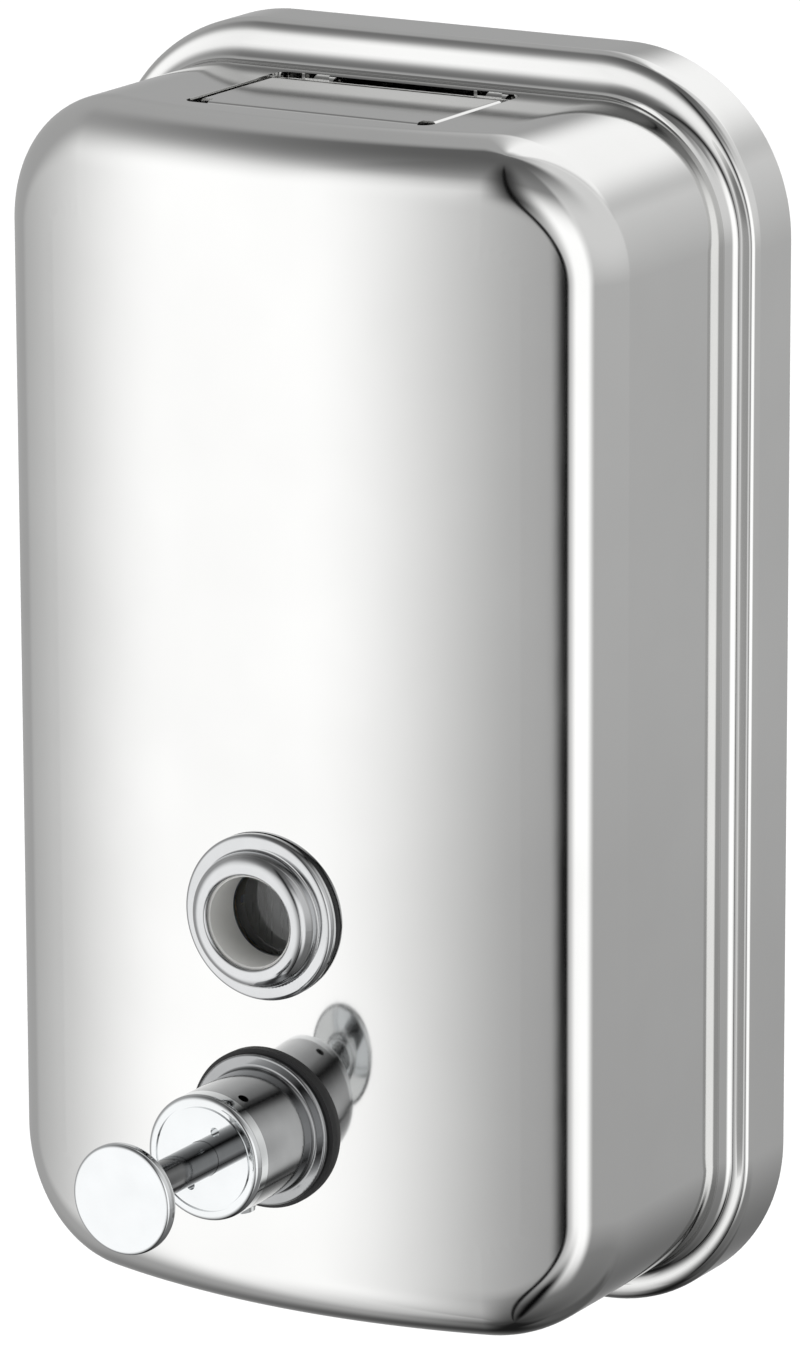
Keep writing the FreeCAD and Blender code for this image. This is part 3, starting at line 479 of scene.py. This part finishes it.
def cut_away(piece, cutters):
    """Cuts shapes out of a piece for good and removes them."""
    for cutter in cutters:
        cut = piece.modifiers.new("cut", "BOOLEAN")
        cut.operation = "DIFFERENCE"
        cut.solver = "EXACT"
        cut.object = cutter
    graph = bpy.context.evaluated_depsgraph_get()
    mesh = bpy.data.meshes.new_from_object(piece.evaluated_get(graph), depsgraph=graph)
    piece.modifiers.clear()
    piece.data = mesh
    for cutter in cutters:
        bpy.data.objects.remove(cutter)


def node_box(node):
    """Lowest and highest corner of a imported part, in millimetres."""
    low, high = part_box(node)
    return low / MM, high / MM


def rounded_outline(bm, half_width, half_height, radius, y, segments, side_cuts):
    """Upright rounded rectangle seen from the front, as a loop of edges with evenly divided sides."""
    corners = [bm.verts.new((x * half_width, y, z * half_height)) for x, z in ((-1, -1), (1, -1), (1, 1), (-1, 1))]
    face = bm.faces.new(corners)
    bmesh.ops.bevel(bm, geom=corners, offset=radius, offset_type="OFFSET", segments=segments, profile=0.5,
                    affect="VERTICES", material=-1)
    face = bm.faces[:][-1]
    long_sides = [e for e in face.edges if e.calc_length() > 3 * radius / segments]
    bmesh.ops.subdivide_edges(bm, edges=long_sides, cuts=side_cuts)
    bm.faces.ensure_lookup_table()
    loop = [corner.vert for corner in bm.faces[-1].loops]
    bmesh.ops.delete(bm, geom=[bm.faces[-1]], context="FACES_ONLY")
    return loop


def outward(point, half_width, half_height, radius):
    """Direction straight out of a rounded rectangle at a point of its outline."""
    centre = Vector((max(radius - half_width, min(half_width - radius, point.x)), 0,
                     max(radius - half_height, min(half_height - radius, point.z))))
    return (Vector((point.x, 0, point.z)) - centre).normalized()


class TankSizes(bpy.types.PropertyGroup):
    width: FloatProperty(name="Body width", description="Between the side walls, in mm", default=114.0)
    height: FloatProperty(name="Body height", description="Between the top and the floor of the tank, in mm",
                          default=200.0)
    corner: FloatProperty(name="Body corner", description="Corner radius seen from the front, in mm",
                          default=22.5)
    crown: FloatProperty(name="Crown", description="Radius of the bowed front, in mm", default=128.0)
    edge: FloatProperty(name="Front edge", description="Radius rolled round the front, in mm", default=10.0)
    sheet: FloatProperty(name="Sheet", description="Thickness of the drawn sheet, in mm", default=1.0)
    rim_depth: FloatProperty(name="Rim depth", description="Of the stepped rim against the wall, in mm",
                             default=12.0)
    rim_corner: FloatProperty(name="Rim corner", description="Corner radius of the rim, in mm", default=30.0)
    side_edge: FloatProperty(name="Rim edge at the sides", description="Radius of the rim's front edge, in mm",
                             default=1.6)
    top_edge: FloatProperty(name="Rim edge at the top", description="Radius of the rim's front edge, in mm",
                            default=3.2)
    bottom_edge: FloatProperty(name="Rim edge at the bottom", description="Radius of the rim's front edge, in mm",
                               default=4.4)
    side_foot: FloatProperty(name="Foot at the sides", description="Radius where body and rim meet, in mm",
                             default=2.8)
    end_foot: FloatProperty(name="Foot at top and bottom", description="Radius where body and rim meet, in mm",
                            default=3.4)
    side_lean: FloatProperty(name="Rim lean at the sides", description="How far the rim's face leans back",
                             unit="ROTATION", default=math.radians(5.6))
    end_lean: FloatProperty(name="Rim lean at top and bottom", description="How far the rim's face leans back",
                            unit="ROTATION", default=math.radians(12.0))
    corner_steps: IntProperty(name="Corner steps", description="Facets round a corner", default=36)


def drawn_skin(sizes, low, high):
    """Outside of the drawn tank, ring by ring from the wall to the front, closed by the bowed face."""
    bm, pattern = bmesh.new(), bmesh.new()
    half_width, half_height = sizes.width / 2, sizes.height / 2
    rim = rounded_outline(bm, high.x, high.z, sizes.rim_corner, 0.0, sizes.corner_steps, 47)
    body = rounded_outline(pattern, half_width, half_height, sizes.corner, 0.0, sizes.corner_steps, 47)
    places = []
    for rim_vert, body_vert in zip(rim, body):
        places.append((rim_vert.co.copy(), outward(rim_vert.co, high.x, high.z, sizes.rim_corner),
                       body_vert.co.copy(), outward(body_vert.co, half_width, half_height, sizes.corner)))
    pattern.free()
    back = Vector((0, 1, 0))
    crown_y = low.y + sizes.crown
    ball_path = sizes.crown - sizes.edge

    def between(side, end, an):
        """A size that differs between the sides and the top and bottom of the rim."""
        return side + (end - side) * an.z ** 2

    def rim_sizes(an):
        end_edge = sizes.top_edge if an.z > 0 else sizes.bottom_edge
        return (between(sizes.side_edge, end_edge, an), between(sizes.side_foot, sizes.end_foot, an),
                between(sizes.side_lean, sizes.end_lean, an))

    def rim_side(share):
        return lambda b, bn, a, an: b - back * (sizes.rim_depth - rim_sizes(an)[0]) * share

    def rim_round(share):
        def at(b, bn, a, an):
            edge, foot, lean = rim_sizes(an)
            angle = (math.pi / 2 - lean) * share
            return b - bn * edge * (1 - math.cos(angle)) - back * (sizes.rim_depth - edge * (1 - math.sin(angle)))
        return at

    def foot_start(b, a, an):
        """Where the wall leaves the foot, measured forward from the wall plane."""
        edge, foot, lean = rim_sizes(an)
        face = (b - a).length - (edge + foot) * (1 - math.sin(lean))
        return sizes.rim_depth - edge * (1 - math.cos(lean)) + face * math.tan(lean) + foot * math.cos(lean)

    def foot_round(share):
        def at(b, bn, a, an):
            edge, foot, lean = rim_sizes(an)
            angle = (math.pi / 2 - lean) * share
            return a + an * foot * (1 - math.cos(angle)) - back * (foot_start(b, a, an) - foot * math.sin(angle))
        return at

    def ball_centre(a, an):
        """Centre of the ball that rolls round the front edge, under the crown and inside the wall."""
        inner = a - an * sizes.edge
        return Vector((inner.x, crown_y - math.sqrt(ball_path ** 2 - inner.x ** 2), inner.z))

    def wall(share):
        def at(b, bn, a, an):
            start = foot_start(b, a, an)
            return a - back * (start + (-ball_centre(a, an).y - start) * share)
        return at

    def front_round(share):
        def at(b, bn, a, an):
            centre = ball_centre(a, an)
            crown_normal = (centre - Vector((0, crown_y, centre.z))).normalized()
            angle = an.angle(crown_normal)
            blend = (an * math.sin((1 - share) * angle) + crown_normal * math.sin(share * angle)) / math.sin(angle)
            return centre + blend * sizes.edge
        return at

    def crown(reach):
        def at(b, bn, a, an):
            inner = front_round(1.0)(b, bn, a, an) - an * reach
            return Vector((inner.x, crown_y - math.sqrt(sizes.crown ** 2 - inner.x ** 2), inner.z))
        return at

    rows = [rim_side(s) for s in (0.35, 0.7, 1.0)]
    rows += [rim_round(s / 10) for s in range(1, 11)]
    rows += [foot_round(1 - s / 10) for s in range(0, 11)]
    rows += [wall(s / 6) for s in range(1, 7)]
    rows += [front_round(s / 20) for s in range(1, 21)]
    rows += [crown(sizes.edge * s) for s in (0.05, 0.11, 0.18, 0.27, 0.38, 0.52, 0.7)]
    ring = rim
    for row in rows:
        edges = [bm.edges.get((ring[i - 1], ring[i])) for i in range(len(ring))]
        grown = bmesh.ops.extrude_edge_only(bm, edges=edges)["geom"]
        new_edges = [g for g in grown if isinstance(g, bmesh.types.BMEdge)]
        follows = {}
        for old in ring:
            for edge in old.link_edges:
                other = edge.other_vert(old)
                if other not in follows and other not in ring and any(other in e.verts for e in new_edges):
                    if (other.co - old.co).length < 1e-9:
                        follows[old] = other
        ring = [follows[old] for old in ring]
        for vert, place in zip(ring, places):
            vert.co = row(*place)
    cap_edges = [bm.edges.get((ring[i - 1], ring[i])) for i in range(len(ring))]
    cap = bmesh.ops.contextual_create(bm, geom=cap_edges)["faces"]
    for axis, reach, pitch in ((Vector((1, 0, 0)), half_width, 1.5), (Vector((0, 0, 1)), half_height, 5.0)):
        steps = int(reach / pitch)
        for step in range(-steps, steps + 1):
            geometry = set(cap)
            for face in cap:
                geometry.update(face.edges)
                geometry.update(face.verts)
            split = bmesh.ops.bisect_plane(bm, geom=list(geometry), dist=1e-5, plane_co=axis * pitch * step,
                                           plane_no=axis)["geom"]
            cap = [g for g in split if isinstance(g, bmesh.types.BMFace)]
    tidy(bm)
    return bm


def rounded_slab(half_width, front, back, radius, bottom, top, name="cutter"):
    """Plate with rounded corners, seen from above."""
    bm = bmesh.new()
    corners = [bm.verts.new((x, y, bottom)) for x, y in
               ((-half_width, front), (half_width, front), (half_width, back), (-half_width, back))]
    bm.faces.new(corners)
    bmesh.ops.bevel(bm, geom=corners, offset=radius, offset_type="OFFSET", segments=12, profile=0.5,
                    affect="VERTICES", material=-1)
    grown = bmesh.ops.extrude_face_region(bm, geom=bm.faces[:])["geom"]
    bmesh.ops.translate(bm, vec=(0, 0, top - bottom), verts=[g for g in grown if isinstance(g, bmesh.types.BMVert)])
    tidy(bm)
    return link(name, bm)


def round_bar(radius, start, end, segments=96, name="cutter"):
    """Plain bar between two points, used to bore a hole."""
    bm = bmesh.new()
    start, end = Vector(start), Vector(end)
    turn = (end - start).to_track_quat("Z", "Y").to_matrix().to_4x4()
    bmesh.ops.create_cone(bm, cap_ends=True, segments=segments, radius1=radius, radius2=radius,
                          depth=(end - start).length, matrix=Matrix.Translation((start + end) / 2) @ turn)
    tidy(bm)
    return link(name, bm)


class DISPENSER_OT_tank(bpy.types.Operator):
    """Draws the mirror polished tank with its bowed front and stepped rim"""
    bl_idname = "dispenser.tank"
    bl_label = "Tank"

    def execute(self, context):
        sizes = context.scene.dispenser_tank
        low, high = node_box("body_shell")
        bm = drawn_skin(sizes, low, high)
        bmesh.ops.solidify(bm, geom=bm.faces[:], thickness=sizes.sheet)
        tidy(bm)
        tank = link("tank_shell", bm)
        window_low, window_high = node_box("window_washer")
        valve_low, valve_high = node_box("valve_nut")
        bush_low, bush_high = node_box("lock_bush")
        well_low, well_high = node_box("lid_gasket")
        window_z = (window_low.z + window_high.z) / 2
        valve_z = (valve_low.z + valve_high.z) / 2
        bush_y = (bush_low.y + bush_high.y) / 2
        opening = well_high.x + 0.3
        pin_y = (node_box("lid_hinge_pin")[0].y + node_box("lid_hinge_pin")[1].y) / 2
        knuckle = context.scene.dispenser_lid.knuckle_place
        cut_away(tank, [
            round_bar(10.2, (0, low.y - 5, window_z), (0, low.y + 5, window_z)),
            round_bar(9.2, (0, low.y - 5, valve_z), (0, low.y + 5, valve_z)),
            round_bar(3.4, (0, bush_y, low.z - 1), (0, bush_y, low.z + 2)),
            rounded_slab(opening, well_low.y - 1.6, pin_y + 3.2, 2.0, 97.5, 102.0),
        ] + [block("slot", (side * knuckle - 2.6, pin_y, 97.5), (side * knuckle + 2.6, pin_y + 3.7, 102.0))
             for side in (-1, 1)])
        settle(tank, "polished_stainless", "housing", "body_shell")
        shade(tank)
        return {"FINISHED"}


class LidSizes(bpy.types.PropertyGroup):
    proud: FloatProperty(name="Stand", description="How far the panel stands above the packed lid, in mm",
                         default=0.7)
    sheet: FloatProperty(name="Sheet", description="Thickness of the folded sheet, in mm", default=0.6)
    bend: FloatProperty(name="Bend", description="Outer radius of the folds, in mm", default=0.75)
    skirt: FloatProperty(name="Skirt", description="Height of the folded edges, in mm", default=2.2)
    corner_width: FloatProperty(name="Open corner", description="Width of the open front corners, in mm",
                                default=2.4)
    corner_depth: FloatProperty(name="Corner depth", description="Depth of the open front corners, in mm",
                                default=2.0)
    behind: FloatProperty(name="Panel to pin", description="From the panel's back edge to the pin, in mm",
                          default=2.2)
    knuckle_place: FloatProperty(name="Knuckle place", description="From the middle to a knuckle, in mm",
                                 default=16.3)
    knuckle_width: FloatProperty(name="Knuckle width", description="Width of a curled strap, in mm",
                                 default=4.2)
    lap: FloatProperty(name="Lap", description="How far a strap reaches under the panel, in mm", default=1.5)
    knuckle_radius: FloatProperty(name="Knuckle radius", description="Outer radius of the curl, in mm",
                                  default=1.9)


def block(name, low, high):
    """Plain block between two corners."""
    bm = bmesh.new()
    low, high = Vector(low), Vector(high)
    bmesh.ops.create_cube(bm, size=1.0, matrix=Matrix.Translation((low + high) / 2)
                          @ Matrix.Diagonal((high - low).to_4d()))
    tidy(bm)
    return link(name, bm)


def folded_panel(sizes, low, high, back):
    """Lid panel with its front and sides folded down, open at the back and below."""
    bm = bmesh.new()
    top = high.z + sizes.proud
    lowest, highest = Vector((low.x, low.y, top - sizes.skirt)), Vector((high.x, back, top))
    bmesh.ops.create_cube(bm, size=1.0, matrix=Matrix.Translation((lowest + highest) / 2)
                          @ Matrix.Diagonal((highest - lowest).to_4d()))
    unwanted = [f for f in bm.faces if f.normal.z < -0.5 or f.normal.y > 0.5]
    bmesh.ops.delete(bm, geom=unwanted, context="FACES")
    folds = [e for e in bm.edges if len(e.link_faces) == 2]
    bmesh.ops.bevel(bm, geom=folds, offset=sizes.bend, offset_type="OFFSET", segments=8, profile=0.5,
                    affect="EDGES", material=-1)
    across = [e for e in bm.edges if abs(e.verts[0].co.x - e.verts[1].co.x) > high.x]
    bmesh.ops.subdivide_edges(bm, edges=across, cuts=12)
    bmesh.ops.solidify(bm, geom=bm.faces[:], thickness=sizes.sheet)
    tidy(bm)
    return bm


def curled_strap(bm, sizes, place, pin, top):
    """Hinge strap: down from the panel's back edge and curled round the pin."""
    half = sizes.knuckle_width / 2
    outer, inner = sizes.knuckle_radius, sizes.knuckle_radius - sizes.sheet
    front = pin.y - outer
    section = [bm.verts.new((place + x, y, pin.z)) for x, y in
               ((-half, front), (half, front), (half, pin.y - inner), (-half, pin.y - inner))]
    face = bm.faces.new(section)
    geometry = [face] + list(face.edges) + section
    bmesh.ops.spin(bm, geom=geometry, cent=pin, axis=(1, 0, 0), angle=math.radians(295), steps=32,
                   use_merge=False, use_duplicate=False)
    low, high = Vector((place - half, front, pin.z)), Vector((place + half, front + sizes.sheet, top - 0.3))
    bmesh.ops.create_cube(bm, size=1.0, matrix=Matrix.Translation((low + high) / 2)
                          @ Matrix.Diagonal((high - low).to_4d()))
    lap_low = Vector((place - half, pin.y - sizes.behind - sizes.lap, top - 0.3 - sizes.sheet))
    bmesh.ops.create_cube(bm, size=1.0, matrix=Matrix.Translation((lap_low + high) / 2)
                          @ Matrix.Diagonal((high - lap_low).to_4d()))


class DISPENSER_OT_lid(bpy.types.Operator):
    """Folds the filler lid with its open front corners and curled hinge straps"""
    bl_idname = "dispenser.lid"
    bl_label = "Filler lid"

    def execute(self, context):
        sizes = context.scene.dispenser_lid
        low, high = node_box("lid")
        pin_low, pin_high = node_box("lid_hinge_pin")
        pin = (pin_low + pin_high) / 2
        back = pin.y - sizes.behind
        top = high.z + sizes.proud
        panel = link("lid_panel", folded_panel(sizes, low, high, back))
        cut_away(panel, [block("corner", (side * (high.x + 1), low.y - 1, top - 5),
                               (side * (high.x - sizes.corner_width), low.y + sizes.corner_depth, top + 1))
                         for side in (-1, 1)])
        settle(panel, "polished_stainless", "lid", "lid")
        shade(panel)
        bm = bmesh.new()
        for side in (-1, 1):
            curled_strap(bm, sizes, side * sizes.knuckle_place, pin, top)
        tidy(bm)
        straps = link("lid_hinge_straps", bm)
        settle(straps, "polished_stainless", "lid", "lid")
        shade(straps)
        leaf_low, leaf_high = node_box("lid_catch_spring")
        bm = bmesh.new()
        foot = leaf_low.y + 2.2
        for side in (-1, 1):
            for radius, bottom, upper in ((0.9, leaf_high.z - 0.2, top - sizes.sheet + 0.1),
                                          (1.6, leaf_high.z - 0.9, leaf_high.z - 0.4)):
                made = bmesh.ops.create_cone(
                    bm, cap_ends=True, segments=32, radius1=radius, radius2=radius, depth=upper - bottom,
                    matrix=Matrix.Translation((side * 2.6, foot, (bottom + upper) / 2)))["verts"]
                rims = [e for e in bm.edges if e.verts[0] in made and e.verts[1] in made and len(e.link_faces) == 2
                        and any(len(f.verts) > 4 for f in e.link_faces)]
                bmesh.ops.bevel(bm, geom=rims, offset=0.15, offset_type="OFFSET", segments=2, profile=0.5,
                                affect="EDGES", material=-1)
        tidy(bm)
        rivets = link("catch_rivets", bm)
        rivets.data.materials.append(finish("plain_stainless"))
        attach(rivets, "lid")
        shade(rivets)
        return {"FINISHED"}


class SleeveSizes(bpy.types.PropertyGroup):
    bore: FloatProperty(name="Bore", description="Radius of the ring's straight bore, in mm", default=7.9)
    wall: FloatProperty(name="Wall", description="Thickness of the sleeve, in mm", default=0.35)
    back_from_lens: FloatProperty(name="Play", description="Between the sleeve and the lens, in mm", default=0.1)
    front_inset: FloatProperty(name="Inset", description="How far the sleeve stays inside the ring, in mm",
                               default=0.9)


class DISPENSER_OT_window_sleeve(bpy.types.Operator):
    """Lines the sight window's bore with a thin pale sleeve"""
    bl_idname = "dispenser.window_sleeve"
    bl_label = "Window sleeve"

    def execute(self, context):
        sizes = context.scene.dispenser_sleeve
        ring_low, ring_high = node_box("window_bezel")
        lens_low, lens_high = node_box("window_lens")
        axis = Vector((0, 0, (ring_low.z + ring_high.z) / 2))
        bore = sizes.bore
        front, back = ring_low.y + sizes.front_inset, lens_low.y - sizes.back_from_lens
        bm = bmesh.new()
        section = [bm.verts.new((0, y, axis.z + radius)) for radius, y in
                   ((bore, front), (bore, back), (bore - sizes.wall, back), (bore - sizes.wall, front))]
        edges = [bm.edges.new((section[i - 1], section[i])) for i in range(len(section))]
        bmesh.ops.spin(bm, geom=section + edges, cent=axis, axis=(0, 1, 0), angle=math.tau, steps=96,
                       use_merge=True, use_duplicate=False)
        tidy(bm)
        sleeve = link("window_sleeve", bm)
        sleeve.data.materials.append(finish("white_plastic"))
        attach(sleeve, "housing")
        shade(sleeve)
        return {"FINISHED"}


class StudioSettings(bpy.types.PropertyGroup):
    camera_azimuth: FloatProperty(
        name="Camera azimuth", description="Angle of the camera to the right of the front",
        default=math.radians(30.42), unit="ROTATION")
    camera_elevation: FloatProperty(
        name="Camera elevation", description="Angle of the camera above the horizon",
        default=math.radians(14.53), unit="ROTATION")
    camera_roll: FloatProperty(
        name="Camera roll", description="Tilt of the camera about its own line of sight",
        default=math.radians(-0.23), unit="ROTATION")
    camera_distance: FloatProperty(
        name="Camera distance", description="From the point aimed at to the lens",
        default=1.3121, unit="LENGTH", subtype="DISTANCE")
    aim: FloatVectorProperty(
        name="Aim", description="Point the camera looks at", default=(0.00549, -0.030, 0.00335),
        unit="LENGTH", subtype="TRANSLATION", size=3)
    lens: FloatProperty(name="Lens", description="Focal length in millimetres on a 36 mm side", default=212.4)
    floor_drop: FloatProperty(
        name="Floor drop", description="Height of the hung dispenser above the floor",
        default=0.30, unit="LENGTH", subtype="DISTANCE")
    floor_radius: FloatProperty(
        name="Floor radius", description="Radius of the pale floor", default=30.0,
        unit="LENGTH", subtype="DISTANCE")
    floor_colour: FloatVectorProperty(
        name="Floor colour", description="Matt white paper", default=linear("#F4F4F4"),
        subtype="COLOR", size=4, min=0.0, max=1.0)
    backdrop: FloatVectorProperty(
        name="Backdrop", description="Plain pale backdrop", default=linear("#FCFCFC"),
        subtype="COLOR", size=4, min=0.0, max=1.0)
    overhead: FloatProperty(name="Overhead light", description="Strength of the soft light on the floor",
                            default=2.0)
    overhead_softness: FloatProperty(
        name="Overhead softness", description="Angle that the overhead light spreads over",
        default=math.radians(70.0), unit="ROTATION")


class DISPENSER_OT_stage(bpy.types.Operator):
    """Sets the camera, the soft panels and the pale floor"""
    bl_idname = "dispenser.stage"
    bl_label = "Stage"

    def execute(self, context):
        sizes = context.scene.dispenser_studio
        camera = bpy.data.cameras.new("camera")
        camera.lens = sizes.lens
        camera.sensor_width = 36.0
        camera.clip_start = 0.05
        camera.clip_end = 100.0
        holder = bpy.data.objects.new("camera", camera)
        context.scene.collection.objects.link(holder)
        azimuth, elevation = sizes.camera_azimuth, sizes.camera_elevation
        back = Vector((math.sin(azimuth) * math.cos(elevation),
                       -math.cos(azimuth) * math.cos(elevation), math.sin(elevation)))
        holder.rotation_mode = "QUATERNION"
        holder.location = Vector(sizes.aim) + back * sizes.camera_distance
        holder.rotation_quaternion = (-back).to_track_quat("-Z", "Y") @ Quaternion((0, 0, 1), sizes.camera_roll)
        context.scene.camera = holder
        context.scene.view_settings.view_transform = "Standard"

        light_world(0.72, tuple(sizes.backdrop))

        floor_z = CAD_BOX[0].z - sizes.floor_drop
        bm = bmesh.new()
        bmesh.ops.create_circle(bm, cap_ends=True, segments=96, radius=sizes.floor_radius,
                                matrix=Matrix.Translation((0, 0, floor_z)))
        floor = link("floor", bm, to_metres=False)
        material, tree, shader, place = new_material("matt_white_paper")
        shader.inputs["Roughness"].default_value = 0.9
        fibre = add_node(tree, "ShaderNodeTexNoise", {"Scale": per_metre(60.0), "Detail": 2.0}, {"Vector": place})
        tint = add_node(tree, "ShaderNodeMix", {"data_type": "RGBA", 6: tuple(sizes.floor_colour),
                        7: tuple(0.985 * c for c in sizes.floor_colour[:3]) + (1.0,)}, {0: fibre.outputs["Fac"]})
        connect(tree, shader, tint.outputs[2])
        floor.data.materials.append(material)
        floor.visible_glossy = False

        sun = bpy.data.lights.new("overhead", "SUN")
        sun.energy = sizes.overhead
        sun.angle = sizes.overhead_softness
        overhead = bpy.data.objects.new("overhead", sun)
        overhead.visible_glossy = False
        context.scene.collection.objects.link(overhead)
        return {"FINISHED"}


class DISPENSER_OT_finish_parts(bpy.types.Operator):
    """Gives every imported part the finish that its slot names"""
    bl_idname = "dispenser.finish_parts"
    bl_label = "Finish packed parts"

    def execute(self, context):
        for part in frame["record"]["subparts"]:
            node = frame["nodes"][part["node"]]
            node.data.materials.clear()
            node.data.materials.append(finish(part["material_slot"], part["node"]))
        return {"FINISHED"}


class DISPENSER_PT_panel(bpy.types.Panel):
    """Lists the steps and the studio settings"""
    bl_idname = "DISPENSER_PT_panel"
    bl_label = "Soap dispenser"
    bl_space_type = "VIEW_3D"
    bl_region_type = "UI"
    bl_category = "Dispenser"

    def draw(self, context):
        for step in STEPS:
            self.layout.operator(step.bl_idname)
        for name in StudioSettings.__annotations__:
            self.layout.prop(context.scene.dispenser_studio, name)


STEPS = (DISPENSER_OT_stage, DISPENSER_OT_finish_parts, DISPENSER_OT_tank, DISPENSER_OT_lid,
         DISPENSER_OT_window_sleeve)
CLASSES = (TankSizes, LidSizes, SleeveSizes, StudioSettings) + STEPS + (DISPENSER_PT_panel,)


def register():
    for cls in CLASSES:
        bpy.utils.register_class(cls)
    bpy.types.Scene.dispenser_tank = PointerProperty(type=TankSizes)
    bpy.types.Scene.dispenser_lid = PointerProperty(type=LidSizes)
    bpy.types.Scene.dispenser_sleeve = PointerProperty(type=SleeveSizes)
    bpy.types.Scene.dispenser_studio = PointerProperty(type=StudioSettings)


def unregister():
    del bpy.types.Scene.dispenser_studio
    del bpy.types.Scene.dispenser_sleeve
    del bpy.types.Scene.dispenser_lid
    del bpy.types.Scene.dispenser_tank
    for cls in reversed(CLASSES):
        bpy.utils.unregister_class(cls)


def main():
    register()
    bpy.ops.dispenser.stage()
    bpy.ops.dispenser.finish_parts()
    bpy.ops.dispenser.tank()
    bpy.ops.dispenser.lid()
    bpy.ops.dispenser.window_sleeve()


if __name__ == "__main__":
    main()
